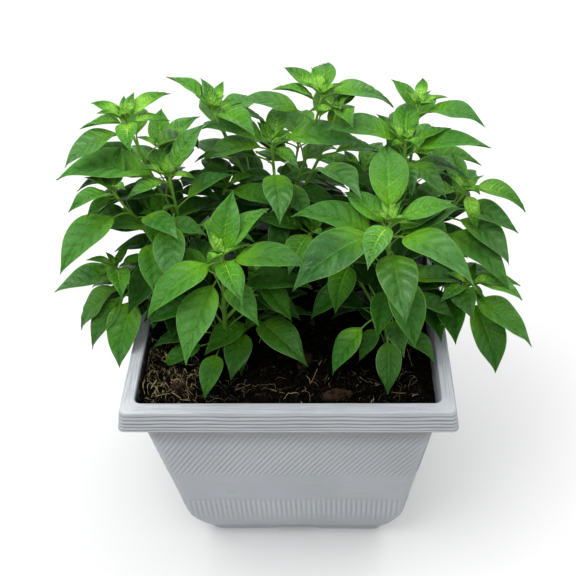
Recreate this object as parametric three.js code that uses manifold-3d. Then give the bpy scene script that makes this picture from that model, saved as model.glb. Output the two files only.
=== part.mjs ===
// Potted chilli pepper plant: a square planter full of potting soil, with five young plants in it.
// Millimetres, +Z up. The origin is the centre of the planter's underside.

import * as THREE from "three";
import { mergeVertices } from "three/addons/utils/BufferGeometryUtils.js";
import Module from "manifold-3d";

const wasm = await Module();
wasm.setup();

// Planter

const POT_HEIGHT = 250;
const RIM_HALF_WIDTH = 140;
const RIM_THICKNESS = 2.6;
const LIP_DEPTH = 21;
const LIP_FLARE = 3.7;
const WALL = 2.6;
const FLOOR_LEVEL = 8;
const CORNER_RADIUS = 9;
const RIM_CORNER_RADIUS = 6;
const CORNER_STEPS = 3;
const TAPER_TOP_HALF_WIDTH = 129;
const TAPER_TOP_LEVEL = 229;
const TAPER_LOW_HALF_WIDTH = 109;
const TAPER_LOW_LEVEL = 58;
const BASE_HALF_WIDTH = 88;
const BASE_ROUND_POWER = 1.75;
const BASE_ROUND_STEPS = 5;
const ARCH_WIDTH = 54;
const ARCH_HEIGHT = 4.5;
const ARCH_REACH = 30;
const ARCH_SHOULDER = 16;
const ARCH_BEND = [0.4, 0.6];
const ARCH_STEPS = 4;
const ARCH_MARGIN = 1;
const DRAIN_RADIUS = 6;
const DRAIN_OFFSET = 45;
const DRAIN_SIDES = 16;
const DRAIN_CUT_LENGTH = 4 * FLOOR_LEVEL;

// Soil and bark

const SOIL_LEVEL = 230;
const SOIL_RELIEF = 1.2;
const SOIL_WAVE = { x: 17, y: 21, phase: 1 };
const SOIL_RIPPLE = { size: 9, share: 0.6 };
const SOIL_RINGS = 5;
const SOIL_EDGE_STEPS = 4;
const CLEARANCE = 0.3;
const BARK_SINK = 0.35;
const BARK_BOTTOM_SHARE = 0.84;
const BARK_TOP_SHARE = 0.72;
const BARK_OUTLINE = [1.0, 0.82, 0.94, 0.86, 1.0, 0.8, 0.9, 0.84];

// Bark chips: centre X and Y, length, width, height, and turn in degrees.

const BARK_CHIPS = {
  bark_chip_front: [42, -104, 30, 13, 7, 8],
  bark_chip_left: [-96, -104, 17, 11, 8, -35],
  bark_chip_middle: [14, -64, 22, 13, 8, 60],
};

// Stems

const FOOT_LEVEL = 208;
const MAIN_STEM_RADII = [3.0, 1.5];
const SIDE_STEM_RADII = [2.1, 1.3];
const STEM_SIDES = 5;
const STEM_STEPS = 4;
const SHOOT_BEND = [0.6, 0.4];
const PLUMB_LIMIT = 1e-6;

// Leaves

const LEAF_STATIONS = [0.14, 0.4, 0.72];
const SMALL_LEAF_STATIONS = [0.22, 0.55];
const SMALL_LEAF_LENGTH = 45;
const LEAF_OUTLINE = [
  [0, 0], [0.04, 0.16], [0.12, 0.52], [0.22, 0.82], [0.34, 0.98], [0.42, 1],
  [0.52, 0.94], [0.64, 0.76], [0.76, 0.5], [0.86, 0.28], [0.94, 0.12], [1, 0],
];
const NARROW_LEAF = { length: 16, ratio: 0.4 };
const BROAD_LEAF = { length: 50, ratio: 0.47 };
const BLADE_RIB_THICKNESS = 1.5;
const BLADE_CUP = 0.3;
const BLADE_SAG = { base: 18, perMillimetre: 0.5 };
const BLADE_STEPS = 40;
const PETIOLE_RADII = [1.1, 0.9];
const PETIOLE_SHARE = { young: 0.18, grown: 0.4, grownDrop: 90 };
const PETIOLE_START_RISE = 55;

// Each plant is a list of shoots, and each shoot bends from one point to another. Its leaves are
// rows of four values: the leaf's distance below the shoot's tip, its compass turn in degrees from
// +X, the rise of its blade above level in degrees, and the length of its blade.

const PLANTS = {
  plant_front_left: [
    {
      from: [-60, -52, 222],
      to: [-52, -54, 347],
      leaves: [
        [1, 135, 50, 28], [2, 38, 28, 50], [8, 72, 52, 54], [0, 5, 15, 24], [10, 345, 5, 68],
        [3, 292, -12, 48], [28, 305, -10, 48], [8, 220, -20, 70], [22, 250, -30, 72],
        [56, 190, -20, 52], [94, 190, -20, 46], [106, 205, -20, 42], [104, 258, -22, 44],
        [46, 10, -10, 62], [40, 120, 5, 54], [64, 82, 8, 42], [78, 140, -10, 48],
      ],
    },
    {
      from: [-59, -52, 240],
      to: [-31, -36, 254],
      leaves: [
        [4, 225, -5, 50], [1, 315, -15, 64], [12, 260, -15, 52], [0, 300, -50, 20],
        [20, 275, -18, 38], [3, 5, 0, 50],
      ],
    },
    {
      from: [-57, -53, 272],
      to: [-25, -32, 304],
      leaves: [
        [2, 30, 10, 40], [4, 105, 5, 40], [4, 310, -20, 46], [20, 60, -10, 34],
        [22, 345, -30, 46],
      ],
    },
  ],
  plant_front_right: [
    {
      from: [88, -46, 222],
      to: [85, -50, 376],
      leaves: [
        [1, 90, 22, 68], [8, 135, 8, 46], [4, 10, 8, 50], [0, 345, 5, 22], [2, 248, -10, 46],
        [0, 45, 55, 18], [14, 315, -5, 76], [26, 277, -12, 68], [14, 212, -15, 84],
        [26, 165, 5, 72], [42, 287, -40, 62], [60, 258, -20, 44], [98, 280, -5, 42],
        [100, 220, -50, 52], [114, 268, -38, 47], [116, 309, -12, 42], [108, 238, -24, 34],
        [52, 130, 0, 54], [60, 45, 0, 50], [90, 95, -10, 48], [80, 345, -20, 42],
      ],
    },
    {
      from: [87, -48, 262],
      to: [54, -10, 304],
      leaves: [
        [2, 192, -15, 46], [4, 255, -20, 50], [4, 112, 12, 34], [22, 215, -30, 48],
        [24, 165, -25, 36],
      ],
    },
  ],
  plant_left: [
    {
      from: [-88, 12, 222],
      to: [-97, 0, 389],
      leaves: [
        [6, 122, 12, 36], [3, 38, 40, 48], [0, 0, -10, 20], [10, 185, 0, 84], [6, 215, -5, 36],
        [32, 20, 15, 46], [0, 160, 60, 18], [58, 110, 0, 52], [56, 350, -15, 52],
        [80, 82, -10, 48], [90, 170, -15, 50], [112, 130, -15, 46], [100, 290, -20, 46],
      ],
    },
    {
      from: [-92, 7, 280],
      to: [-112, -4, 348],
      leaves: [
        [6, 130, 10, 34], [4, 90, 60, 28], [3, 275, -5, 36], [12, 40, 0, 46], [0, 20, 40, 16],
        [16, 205, 5, 68],
      ],
    },
    {
      from: [-95, 3, 340],
      to: [-127, 10, 437],
      leaves: [
        [1, 160, 15, 30], [0, 100, 35, 20], [0, 35, 8, 38], [3, 5, 0, 30], [4, 180, -8, 36],
        [12, 204, -24, 54], [2, 282, -5, 38], [52, 165, 15, 44],
      ],
    },
    {
      from: [-92, 6, 290],
      to: [-142, -18, 388],
      leaves: [
        [6, 235, 10, 46], [8, 225, -10, 28], [4, 80, 38, 38], [0, 150, 40, 14],
        [30, 232, -20, 70],
      ],
    },
    {
      from: [-89, 11, 240],
      to: [-148, -34, 318],
      leaves: [
        [22, 175, -12, 40], [2, 285, 0, 42], [1, 205, -15, 16], [0, 70, 40, 14],
        [3, 20, 10, 26],
      ],
    },
    {
      from: [-89, 11, 236],
      to: [-143, -28, 288],
      leaves: [
        [2, 195, -48, 60], [12, 222, -46, 60], [16, 252, -50, 64], [20, 190, -20, 44],
      ],
    },
    {
      from: [-93, 6, 300],
      to: [-114, 60, 376],
      leaves: [
        [6, 95, 20, 44], [2, 35, 20, 42], [14, 170, 0, 42], [34, 120, -5, 46],
      ],
    },
    {
      from: [-93, 6, 300],
      to: [-56, 38, 348],
      leaves: [
        [2, 120, 0, 46], [4, 335, -10, 52], [24, 60, -15, 40], [26, 300, -25, 50],
      ],
    },
  ],
  plant_back: [
    {
      from: [-10, 60, 222],
      to: [-12, 35, 398],
      leaves: [
        [4, 78, 18, 42], [5, 170, 5, 56], [9, 190, -5, 54], [22, 170, -15, 62], [1, 20, 25, 18],
        [5, 315, -15, 30], [1, 140, 45, 20], [28, 276, -22, 54], [6, 3, -5, 70],
        [56, 345, -15, 46], [84, 205, -15, 52], [62, 130, 0, 56], [84, 70, -5, 54],
        [104, 10, -20, 50], [112, 150, -15, 48], [100, 238, -20, 40],
      ],
    },
    {
      from: [-11, 46, 300],
      to: [-60, 45, 423],
      leaves: [
        [4, 170, 40, 46], [2, 130, 55, 28], [2, 45, 10, 20], [6, 0, -14, 38], [4, 312, 0, 48],
        [30, 120, 5, 50], [76, 100, 0, 48],
      ],
    },
    {
      from: [-11, 46, 300],
      to: [31, 45, 436],
      leaves: [
        [4, 85, 0, 46], [0, 150, 20, 36], [24, 170, 0, 62], [6, 200, 25, 40], [3, 12, -20, 60],
        [34, 60, 5, 52], [60, 110, 0, 52], [80, 340, -15, 52],
      ],
    },
    {
      from: [-11, 46, 300],
      to: [44, 40, 425],
      leaves: [
        [2, 50, 12, 34], [1, 290, 5, 34], [0, 190, 0, 22], [66, 300, 5, 66], [30, 60, 0, 44],
        [54, 15, -15, 50],
      ],
    },
    {
      from: [-10, 52, 262],
      to: [22, 4, 324],
      leaves: [
        [2, 250, -10, 50], [4, 335, -10, 42], [6, 170, 8, 46], [28, 200, -15, 46],
        [50, 315, -25, 36],
      ],
    },
    {
      from: [-11, 48, 286],
      to: [8, 104, 350],
      leaves: [
        [2, 85, 0, 52], [4, 10, -5, 52], [4, 170, -5, 52], [26, 45, -15, 50],
        [28, 130, -15, 50], [50, 90, -20, 46],
      ],
    },
  ],
  plant_right: [
    {
      from: [98, 30, 222],
      to: [100, 18, 407],
      leaves: [
        [7, 82, 14, 46], [7, 10, 20, 36], [14, 350, 10, 62], [1, 225, 20, 17], [2, 165, 40, 18],
        [14, 128, 30, 38], [24, 352, -12, 46], [18, 318, -24, 42], [6, 180, 12, 62],
        [52, 45, -20, 54], [88, 60, -20, 52], [60, 150, -8, 46], [78, 120, 0, 54],
        [100, 172, -15, 42], [72, 265, -20, 48], [118, 108, -15, 42], [112, 350, -20, 46],
      ],
    },
    {
      from: [99, 22, 320],
      to: [112, 45, 425],
      leaves: [
        [8, 130, 30, 34], [0, 0, 15, 22], [7, 335, -5, 52], [20, 70, 0, 46], [44, 100, 0, 48],
      ],
    },
    {
      from: [99, 25, 280],
      to: [155, 20, 355],
      leaves: [
        [6, 98, 15, 42], [0, 345, -18, 50], [3, 195, -5, 48], [2, 290, -45, 32],
        [60, 318, -20, 74], [26, 336, -10, 54], [36, 320, -24, 62], [20, 60, 0, 46],
        [46, 50, -5, 46],
      ],
    },
    {
      from: [98, 27, 252],
      to: [158, -30, 292],
      leaves: [
        [6, 232, 5, 36], [1, 342, -12, 44], [4, 0, -10, 42], [0, 320, -30, 16],
        [30, 20, -10, 42],
      ],
    },
    {
      from: [98, 28, 246],
      to: [158, -25, 269],
      leaves: [
        [1, 300, -55, 68], [1, 325, -22, 66],
      ],
    },
    {
      from: [99, 24, 290],
      to: [64, 62, 342],
      leaves: [
        [2, 150, 0, 48], [4, 265, -10, 38], [4, 65, 5, 48], [26, 200, -20, 50],
        [28, 115, -10, 48],
      ],
    },
    {
      from: [99, 25, 284],
      to: [122, 84, 346],
      leaves: [
        [2, 75, 0, 50], [4, 350, -5, 50], [26, 30, -15, 48], [28, 115, -15, 46],
      ],
    },
  ],
};

const UP = new THREE.Vector3(0, 0, 1);
const radians = THREE.MathUtils.degToRad;
const vector = (values) => new THREE.Vector3(...values);

// Solids

// A closed surface through rings of points that turn anticlockwise about the way they run. A ring
// of one point closes an end to a tip, and any other end ring is closed flat.
function loft(rings) {
  const positions = rings.flat().flatMap((point) => point.toArray());
  const triangles = [];
  let start = 0;
  for (let index = 0; index + 1 < rings.length; index++) {
    const here = rings[index].length;
    const next = start + here;
    const there = rings[index + 1].length;
    const count = Math.max(here, there);
    for (let i = 0; i < count; i++) {
      const j = (i + 1) % count;
      if (here > 1) triangles.push(start + i, start + j, next + (there > 1 ? j : 0));
      if (there > 1) triangles.push(start + (here > 1 ? i : 0), next + j, next + i);
    }
    start = next;
  }
  const last = rings.at(-1).length;
  for (let i = 1; i + 1 < rings[0].length; i++) triangles.push(0, i + 1, i);
  for (let i = 1; i + 1 < last; i++) triangles.push(start, start + i, start + i + 1);
  const geometry = new THREE.BufferGeometry();
  geometry.setAttribute("position", new THREE.Float32BufferAttribute(positions, 3));
  geometry.setIndex(triangles);
  return geometry;
}

function solidOf(geometry) {
  const bare = geometry.clone();
  bare.deleteAttribute("normal");
  bare.deleteAttribute("uv");
  const merged = mergeVertices(bare);
  return new wasm.Manifold(new wasm.Mesh({
    numProp: 3,
    vertProperties: new Float32Array(merged.attributes.position.array),
    triVerts: new Uint32Array(merged.index.array),
  }));
}

// The largest connected body of a solid, without loose scraps or sealed hollows.
function mainBody(solid) {
  return solid.decompose().reduce((best, part) => (part.volume() > best.volume() ? part : best));
}

function geometryOf(solid) {
  const mesh = solid.getMesh();
  const geometry = new THREE.BufferGeometry();
  geometry.setAttribute("position", new THREE.Float32BufferAttribute(mesh.vertProperties, 3));
  geometry.setIndex([...mesh.triVerts]);
  geometry.computeVertexNormals();
  return geometry;
}

// Rings of a rod along a list of points, with a radius for each point.
function rodRings(points, radii, sides) {
  const chord = points.at(-1).clone().sub(points[0]);
  const side = chord.cross(UP);
  if (side.lengthSq() < PLUMB_LIMIT) side.set(1, 0, 0);
  side.normalize();
  return points.map((point, index) => {
    const before = points[Math.max(index - 1, 0)];
    const after = points[Math.min(index + 1, points.length - 1)];
    const along = after.clone().sub(before).normalize();
    const normal = along.cross(side).normalize();
    return Array.from({ length: sides }, (_, step) => {
      const angle = (2 * Math.PI * step) / sides;
      return point.clone()
        .addScaledVector(side, radii[index] * Math.cos(angle))
        .addScaledVector(normal, radii[index] * Math.sin(angle));
    });
  });
}

// Planter

function squareRing(halfWidth, radius, level, edgeSteps = 1) {
  const reach = halfWidth - radius;
  const ring = [];
  for (let corner = 0; corner < 4; corner++) {
    const start = (corner * Math.PI) / 2;
    const centre = new THREE.Vector2(reach, reach).rotateAround(new THREE.Vector2(), start);
    for (let step = 0; step <= CORNER_STEPS; step++) {
      const angle = start + (step / CORNER_STEPS) * (Math.PI / 2);
      const x = centre.x + radius * Math.cos(angle);
      const y = centre.y + radius * Math.sin(angle);
      ring.push(new THREE.Vector3(x, y, level));
    }
    const end = ring.at(-1);
    for (let step = 1; step < edgeSteps; step++) {
      const run = (step / edgeSteps) * 2 * reach;
      const x = end.x - run * Math.cos(start);
      const y = end.y - run * Math.sin(start);
      ring.push(new THREE.Vector3(x, y, level));
    }
  }
  return ring;
}

// Half the outer width of the planter's body: a straight taper that rounds in towards the base.
function bodyHalfWidth(level) {
  const slope = (TAPER_TOP_HALF_WIDTH - TAPER_LOW_HALF_WIDTH) / (TAPER_TOP_LEVEL - TAPER_LOW_LEVEL);
  const straight = TAPER_LOW_HALF_WIDTH + slope * (level - TAPER_LOW_LEVEL);
  const roundIn = TAPER_LOW_HALF_WIDTH - slope * TAPER_LOW_LEVEL - BASE_HALF_WIDTH;
  const depth = Math.max(1 - level / TAPER_LOW_LEVEL, 0);
  return straight - roundIn * depth ** BASE_ROUND_POWER;
}

function innerRing(level, inset, edgeSteps) {
  const halfWidth = bodyHalfWidth(level) - WALL - inset;
  return squareRing(halfWidth, CORNER_RADIUS - WALL - inset, level, edgeSteps);
}

function bodyLevels(bottom) {
  const levels = [];
  for (let step = 0; step < BASE_ROUND_STEPS; step++) {
    levels.push(bottom + (step / BASE_ROUND_STEPS) * (TAPER_LOW_LEVEL - bottom));
  }
  levels.push(TAPER_LOW_LEVEL);
  return levels;
}

function archCutter(quarter) {
  const half = ARCH_WIDTH / 2;
  const [far, near] = ARCH_BEND.map((share) => half - share * ARCH_SHOULDER);
  const top = half - ARCH_SHOULDER;
  const arch = new THREE.Shape();
  arch.moveTo(-half, -ARCH_MARGIN);
  arch.lineTo(half, -ARCH_MARGIN);
  arch.lineTo(half, 0);
  arch.bezierCurveTo(far, ARCH_HEIGHT, near, ARCH_HEIGHT, top, ARCH_HEIGHT);
  arch.lineTo(-top, ARCH_HEIGHT);
  arch.bezierCurveTo(-near, ARCH_HEIGHT, -far, ARCH_HEIGHT, -half, 0);
  const cutter = new THREE.ExtrudeGeometry(arch, {
    depth: ARCH_REACH + CORNER_RADIUS,
    bevelEnabled: false,
    curveSegments: ARCH_STEPS,
  });
  cutter.rotateX(Math.PI / 2);
  cutter.translate(0, ARCH_REACH - BASE_HALF_WIDTH, 0);
  cutter.rotateZ((quarter * Math.PI) / 2);
  return cutter;
}

function drainCutter(signX, signY) {
  const cutter = new THREE.CylinderGeometry(DRAIN_RADIUS, DRAIN_RADIUS, DRAIN_CUT_LENGTH, DRAIN_SIDES);
  cutter.rotateX(Math.PI / 2);
  cutter.translate(signX * DRAIN_OFFSET, signY * DRAIN_OFFSET, 0);
  return cutter;
}

function makePot() {
  const lipLevel = POT_HEIGHT - LIP_DEPTH;
  const underLevel = POT_HEIGHT - RIM_THICKNESS;
  const lipHalfWidth = RIM_HALF_WIDTH + LIP_FLARE;
  const insideRadius = RIM_CORNER_RADIUS - RIM_THICKNESS;
  const inside = bodyLevels(FLOOR_LEVEL).map((level) => innerRing(level, 0, 1));
  const outside = bodyLevels(0).map((level) => squareRing(bodyHalfWidth(level), CORNER_RADIUS, level));
  const rings = [
    [new THREE.Vector3(0, 0, 0)],
    ...outside,
    squareRing(bodyHalfWidth(underLevel), CORNER_RADIUS, underLevel),
    squareRing(RIM_HALF_WIDTH - RIM_THICKNESS, insideRadius, underLevel),
    squareRing(lipHalfWidth - RIM_THICKNESS, insideRadius, lipLevel),
    squareRing(lipHalfWidth, RIM_CORNER_RADIUS, lipLevel),
    squareRing(RIM_HALF_WIDTH, RIM_CORNER_RADIUS, POT_HEIGHT),
    innerRing(POT_HEIGHT, 0, 1),
    ...inside.reverse(),
    [new THREE.Vector3(0, 0, FLOOR_LEVEL)],
  ];
  let pot = solidOf(loft(rings));
  for (let quarter = 0; quarter < 4; quarter++) pot = pot.subtract(solidOf(archCutter(quarter)));
  for (const signX of [-1, 1]) {
    for (const signY of [-1, 1]) pot = pot.subtract(solidOf(drainCutter(signX, signY)));
  }
  return geometryOf(pot);
}

// Soil and bark

function soilHeight(x, y) {
  const wave = Math.sin(x / SOIL_WAVE.x + SOIL_WAVE.phase) * Math.cos(y / SOIL_WAVE.y);
  const ripple = Math.sin((x + y) / SOIL_RIPPLE.size);
  return SOIL_LEVEL + SOIL_RELIEF * (wave + SOIL_RIPPLE.share * ripple);
}

// A bark chip's solid, wider and deeper by a clearance when it is cut out of the soil.
function barkSolid([x, y, length, width, height, turn], clearance) {
  const bottom = soilHeight(x, y) - BARK_SINK * height - clearance;
  const ring = (level, share) => BARK_OUTLINE.map((reach, index) => {
    const angle = (2 * Math.PI * index) / BARK_OUTLINE.length;
    const point = new THREE.Vector3(
      (share * length * reach / 2 + clearance) * Math.cos(angle),
      (share * width * reach / 2 + clearance) * Math.sin(angle),
      level,
    );
    return point.applyAxisAngle(UP, radians(turn)).add(new THREE.Vector3(x, y, 0));
  });
  const middle = bottom + height / 2 + clearance;
  const top = bottom + height + clearance;
  const cover = clearance > 0 ? ring(top + height, 1) : ring(top, BARK_TOP_SHARE);
  return solidOf(loft([ring(bottom, BARK_BOTTOM_SHARE), ring(middle, 1), cover]));
}

function makeSoil() {
  const floor = FLOOR_LEVEL + CLEARANCE;
  const top = innerRing(SOIL_LEVEL, CLEARANCE, SOIL_EDGE_STEPS);
  const rings = [[new THREE.Vector3(0, 0, floor)]];
  for (const level of bodyLevels(floor)) rings.push(innerRing(level, CLEARANCE, SOIL_EDGE_STEPS));
  for (let step = SOIL_RINGS; step > 0; step--) {
    const share = step / SOIL_RINGS;
    rings.push(top.map(({ x, y }) => {
      return new THREE.Vector3(share * x, share * y, soilHeight(share * x, share * y));
    }));
  }
  rings.push([new THREE.Vector3(0, 0, soilHeight(0, 0))]);
  let soil = solidOf(loft(rings));
  for (const shoots of Object.values(PLANTS)) soil = soil.subtract(footSolid(shoots[0], CLEARANCE));
  for (const chip of Object.values(BARK_CHIPS)) soil = soil.subtract(barkSolid(chip, CLEARANCE));
  return geometryOf(mainBody(soil));
}

// Stems

function shootCurve({ from, to }) {
  const bend = from.map((value, axis) => {
    const share = axis < 2 ? SHOOT_BEND[0] : SHOOT_BEND[1];
    return value + share * (to[axis] - value);
  });
  return new THREE.QuadraticBezierCurve3(vector(from), vector(bend), vector(to));
}

function shootPoint(shoot, drop) {
  const length = vector(shoot.from).distanceTo(vector(shoot.to));
  return shootCurve(shoot).getPoint(Math.max(1 - drop / length, 0));
}

function stemRings(shoot, radii, sunk) {
  const points = shootCurve(shoot).getPoints(STEM_STEPS);
  const widths = points.map((_, index) => THREE.MathUtils.lerp(...radii, index / STEM_STEPS));
  if (sunk) {
    points.unshift(new THREE.Vector3(shoot.from[0], shoot.from[1], FOOT_LEVEL));
    widths.unshift(radii[0]);
  }
  return { points, widths };
}

function stemSolid(shoot, radii, sunk) {
  const { points, widths } = stemRings(shoot, radii, sunk);
  return solidOf(loft(rodRings(points, widths, STEM_SIDES)));
}

// The sunk foot of a plant's main stem, wider and deeper by a clearance when the soil is cut for it.
function footSolid(shoot, clearance) {
  const { points, widths } = stemRings(shoot, MAIN_STEM_RADII, true);
  points[0].z -= clearance;
  const wider = widths.map((width) => width + clearance / Math.cos(Math.PI / STEM_SIDES));
  return solidOf(loft(rodRings(points, wider, STEM_SIDES)));
}

// Leaves

function interpolate(table, value) {
  const index = Math.max(table.findIndex(([at]) => at >= value), 1);
  const [low, high] = [table[index - 1], table[index]];
  return THREE.MathUtils.mapLinear(value, low[0], high[0], low[1], high[1]);
}

function widthRatio(length) {
  const share = (length - NARROW_LEAF.length) / (BROAD_LEAF.length - NARROW_LEAF.length);
  const grown = THREE.MathUtils.clamp(share, 0, 1);
  return THREE.MathUtils.lerp(NARROW_LEAF.ratio, BROAD_LEAF.ratio, grown);
}

function leafSolid(shoot, [drop, turn, rise, length]) {
  const sag = BLADE_SAG.base + BLADE_SAG.perMillimetre * length;
  const heading = new THREE.Vector3(Math.cos(radians(turn)), Math.sin(radians(turn)), 0);
  const left = UP.clone().cross(heading);
  const tilted = (angle) => heading.clone()
    .multiplyScalar(Math.cos(radians(angle)))
    .addScaledVector(UP, Math.sin(radians(angle)));

  const grown = Math.min(drop / PETIOLE_SHARE.grownDrop, 1);
  const petioleLength = length * (PETIOLE_SHARE.young + PETIOLE_SHARE.grown * grown);
  const petioleRise = (PETIOLE_START_RISE + rise + sag / 2) / 2;
  const root = shootPoint(shoot, drop);
  const base = root.clone().addScaledVector(tilted(petioleRise), petioleLength);

  const spine = [base.clone()];
  for (let step = 0; step < BLADE_STEPS; step++) {
    const angle = rise + sag * (0.5 - (step + 0.5) / BLADE_STEPS);
    spine.push(spine.at(-1).clone().addScaledVector(tilted(angle), length / BLADE_STEPS));
  }

  const ring = (point, normal, halfWidth, lift, halfThickness) => [
    point.clone().addScaledVector(left, halfWidth).addScaledVector(normal, lift),
    point.clone().addScaledVector(normal, halfThickness),
    point.clone().addScaledVector(left, -halfWidth).addScaledVector(normal, lift),
    point.clone().addScaledVector(normal, -halfThickness),
  ];
  const petioleNormal = tilted(petioleRise + 90);
  const [rootRadius, baseRadius] = PETIOLE_RADII;
  const stations = length < SMALL_LEAF_LENGTH ? SMALL_LEAF_STATIONS : LEAF_STATIONS;
  return solidOf(loft([
    ring(root, petioleNormal, rootRadius, 0, rootRadius),
    ring(base, petioleNormal, baseRadius, 0, baseRadius),
    ...stations.map((station) => {
      const normal = tilted(rise + sag * (0.5 - station) + 90);
      const halfWidth = (length / 2) * widthRatio(length) * interpolate(LEAF_OUTLINE, station);
      const point = spine[Math.round(station * BLADE_STEPS)];
      return ring(point, normal, halfWidth, BLADE_CUP * halfWidth, BLADE_RIB_THICKNESS / 2);
    }),
    [spine.at(-1)],
  ]));
}

function makePlant(shoots) {
  let plant = stemSolid(shoots[0], MAIN_STEM_RADII, true);
  for (const shoot of shoots.slice(1)) plant = plant.add(stemSolid(shoot, SIDE_STEM_RADII, false));
  for (const shoot of shoots) {
    for (const row of shoot.leaves) plant = plant.add(leafSolid(shoot, row));
  }
  return geometryOf(mainBody(plant));
}

// The potted plant

const materials = {
  planter: new THREE.MeshStandardMaterial({ color: 0xc3cbd0, roughness: 0.55, metalness: 0 }),
  soil: new THREE.MeshStandardMaterial({ color: 0x2a211b, roughness: 1, metalness: 0 }),
  bark: new THREE.MeshStandardMaterial({ color: 0x6b4a33, roughness: 0.9, metalness: 0 }),
  plant: new THREE.MeshStandardMaterial({ color: 0x4c8f35, roughness: 0.5, metalness: 0 }),
};

function namedMesh(name, geometry, material) {
  const mesh = new THREE.Mesh(geometry, material);
  mesh.name = name;
  return mesh;
}

const group = new THREE.Group();
group.add(namedMesh("pot", makePot(), materials.planter));
group.add(namedMesh("soil", makeSoil(), materials.soil));
for (const [name, chip] of Object.entries(BARK_CHIPS)) {
  group.add(namedMesh(name, geometryOf(barkSolid(chip, 0)), materials.bark));
}
for (const [name, shoots] of Object.entries(PLANTS)) {
  group.add(namedMesh(name, makePlant(shoots), materials.plant));
}

export default group;
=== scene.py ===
"""Looks of the potted chilli pepper plant: a ribbed square planter, its soil and five leafy plants.

Sizes are in millimetres, as in the part's source, unless a class says otherwise. Meshes are made in metres.
"""

import logging
import math
from dataclasses import dataclass, field
from enum import Enum

import bmesh
import bpy
import numpy as np
from mathutils import Matrix, Vector, noise
from mathutils.bvhtree import BVHTree


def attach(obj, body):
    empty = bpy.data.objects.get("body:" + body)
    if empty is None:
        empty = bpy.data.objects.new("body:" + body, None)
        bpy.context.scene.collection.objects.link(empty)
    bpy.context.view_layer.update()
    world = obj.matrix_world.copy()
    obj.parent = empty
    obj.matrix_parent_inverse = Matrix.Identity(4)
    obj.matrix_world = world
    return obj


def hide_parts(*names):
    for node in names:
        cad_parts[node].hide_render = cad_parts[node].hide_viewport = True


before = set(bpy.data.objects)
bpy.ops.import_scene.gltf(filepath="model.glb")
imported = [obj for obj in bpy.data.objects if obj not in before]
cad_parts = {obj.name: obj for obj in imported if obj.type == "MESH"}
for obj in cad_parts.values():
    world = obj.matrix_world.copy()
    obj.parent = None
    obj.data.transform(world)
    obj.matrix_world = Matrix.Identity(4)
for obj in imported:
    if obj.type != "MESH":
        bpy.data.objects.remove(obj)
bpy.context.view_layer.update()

log = logging.getLogger("potted_chilli")

MM = 0.001
FULL_TURN = 2.0 * math.pi
GOLDEN_ANGLE = math.radians(137.5)
SEED = 7

Array = np.ndarray
Values = np.ndarray | float
Random = np.random.Generator
Pair = tuple[float, float]
Numbers = tuple[float, ...]
Color = tuple[float, float, float]
Place = tuple[float, float, float]
LeafRow = tuple[float, float, float, float]
Socket = bpy.types.NodeSocket
Material = bpy.types.Material

BLACK: Color = (0.0, 0.0, 0.0)
WHITE: Color = (1.0, 1.0, 1.0)
NO_PLACE: Place = (0.0, 0.0, 0.0)


class Body(Enum):
    """The rigid bodies that pieces ride on."""

    ROOT = "root"


class Slot(Enum):
    """The record's material slots."""

    PLANTER = "planter"
    SOIL = "soil"
    BARK = "bark"
    FOLIAGE = "foliage"


def unit(vector: Array) -> Array:
    """Return the vector at length one."""
    return vector / max(float(np.linalg.norm(vector)), 1e-9)


def smooth(low: float, high: float, values: Values) -> Values:
    """Return a smooth step of values, from 0 at low to 1 at high."""
    share = np.clip((values - low) / (high - low), 0.0, 1.0)
    return share * share * (3.0 - 2.0 * share)


def bump_at(values: Values, centre: float, width: float) -> Values:
    """Return a bell of height 1 round a centre."""
    return np.exp(-(((values - centre) / width) ** 2))


def in_columns(*values: Values) -> Array:
    """Return values side by side as the columns of one array, with single numbers repeated."""
    return np.stack(np.broadcast_arrays(*values), -1)


def quarter_turn(x: Array, y: Array, quarter: int) -> tuple[Array, Array]:
    """Return X and Y turned anticlockwise by a number of quarter turns, from 0 to 3."""
    cosine, sine = ((1, 0), (0, 1), (-1, 0), (0, -1))[quarter]
    return cosine * x - sine * y, sine * x + cosine * y


def grid_faces(rows: int, columns: int, closed: bool) -> Array:
    """Return the quads of a grid of vertices stored row by row.

    Args:
        rows: How many rows of vertices it has.
        columns: How many vertices a row has.
        closed: Whether each row joins up into a ring.

    Returns:
        Rows of four vertex indices.
    """
    spans = columns if closed else columns - 1
    row, column = np.meshgrid(np.arange(rows - 1), np.arange(spans), indexing="ij")
    here, after = row * columns + column, row * columns + (column + 1) % columns
    return np.stack((here, after, after + columns, here + columns), -1).reshape(-1, 4)


def ring_fan(start: int, columns: int, centre: int, outward: bool) -> Array:
    """Return the triangles that close a ring of vertices to a centre.

    Args:
        start: The ring's first vertex.
        columns: How many vertices the ring has.
        centre: The centre's vertex.
        outward: Whether the ring turns anticlockwise as seen from outside.

    Returns:
        Rows of four indices, the last one repeated.
    """
    here = start + np.arange(columns)
    after = np.roll(here, -1)
    hub = np.full(columns, centre)
    first, second = (here, after) if outward else (after, here)
    return np.stack((first, second, hub, hub), -1)


def stack_faces(rows: int, columns: int) -> Array:
    """Return the faces of a stack of rings closed to two centres, which are stored after the rings.

    Args:
        rows: How many rings it has.
        columns: How many vertices a ring has.

    Returns:
        Rows of four vertex indices.
    """
    centre = rows * columns
    return np.concatenate((
        grid_faces(rows, columns, closed=True),
        ring_fan(0, columns, centre, outward=False),
        ring_fan(centre - columns, columns, centre + 1, outward=True)))


def loop_faces(rows: int, columns: int) -> Array:
    """Return the faces of a sweep of rings whose last ring joins up with the first.

    Args:
        rows: How many rings it has.
        columns: How many vertices a ring has.

    Returns:
        Rows of four vertex indices.
    """
    here = np.arange(columns)
    after = np.roll(here, -1)
    last = (rows - 1) * columns
    closing = np.stack((last + here, last + after, after, here), -1)
    return np.concatenate((grid_faces(rows, columns, closed=True), closing))


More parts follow.
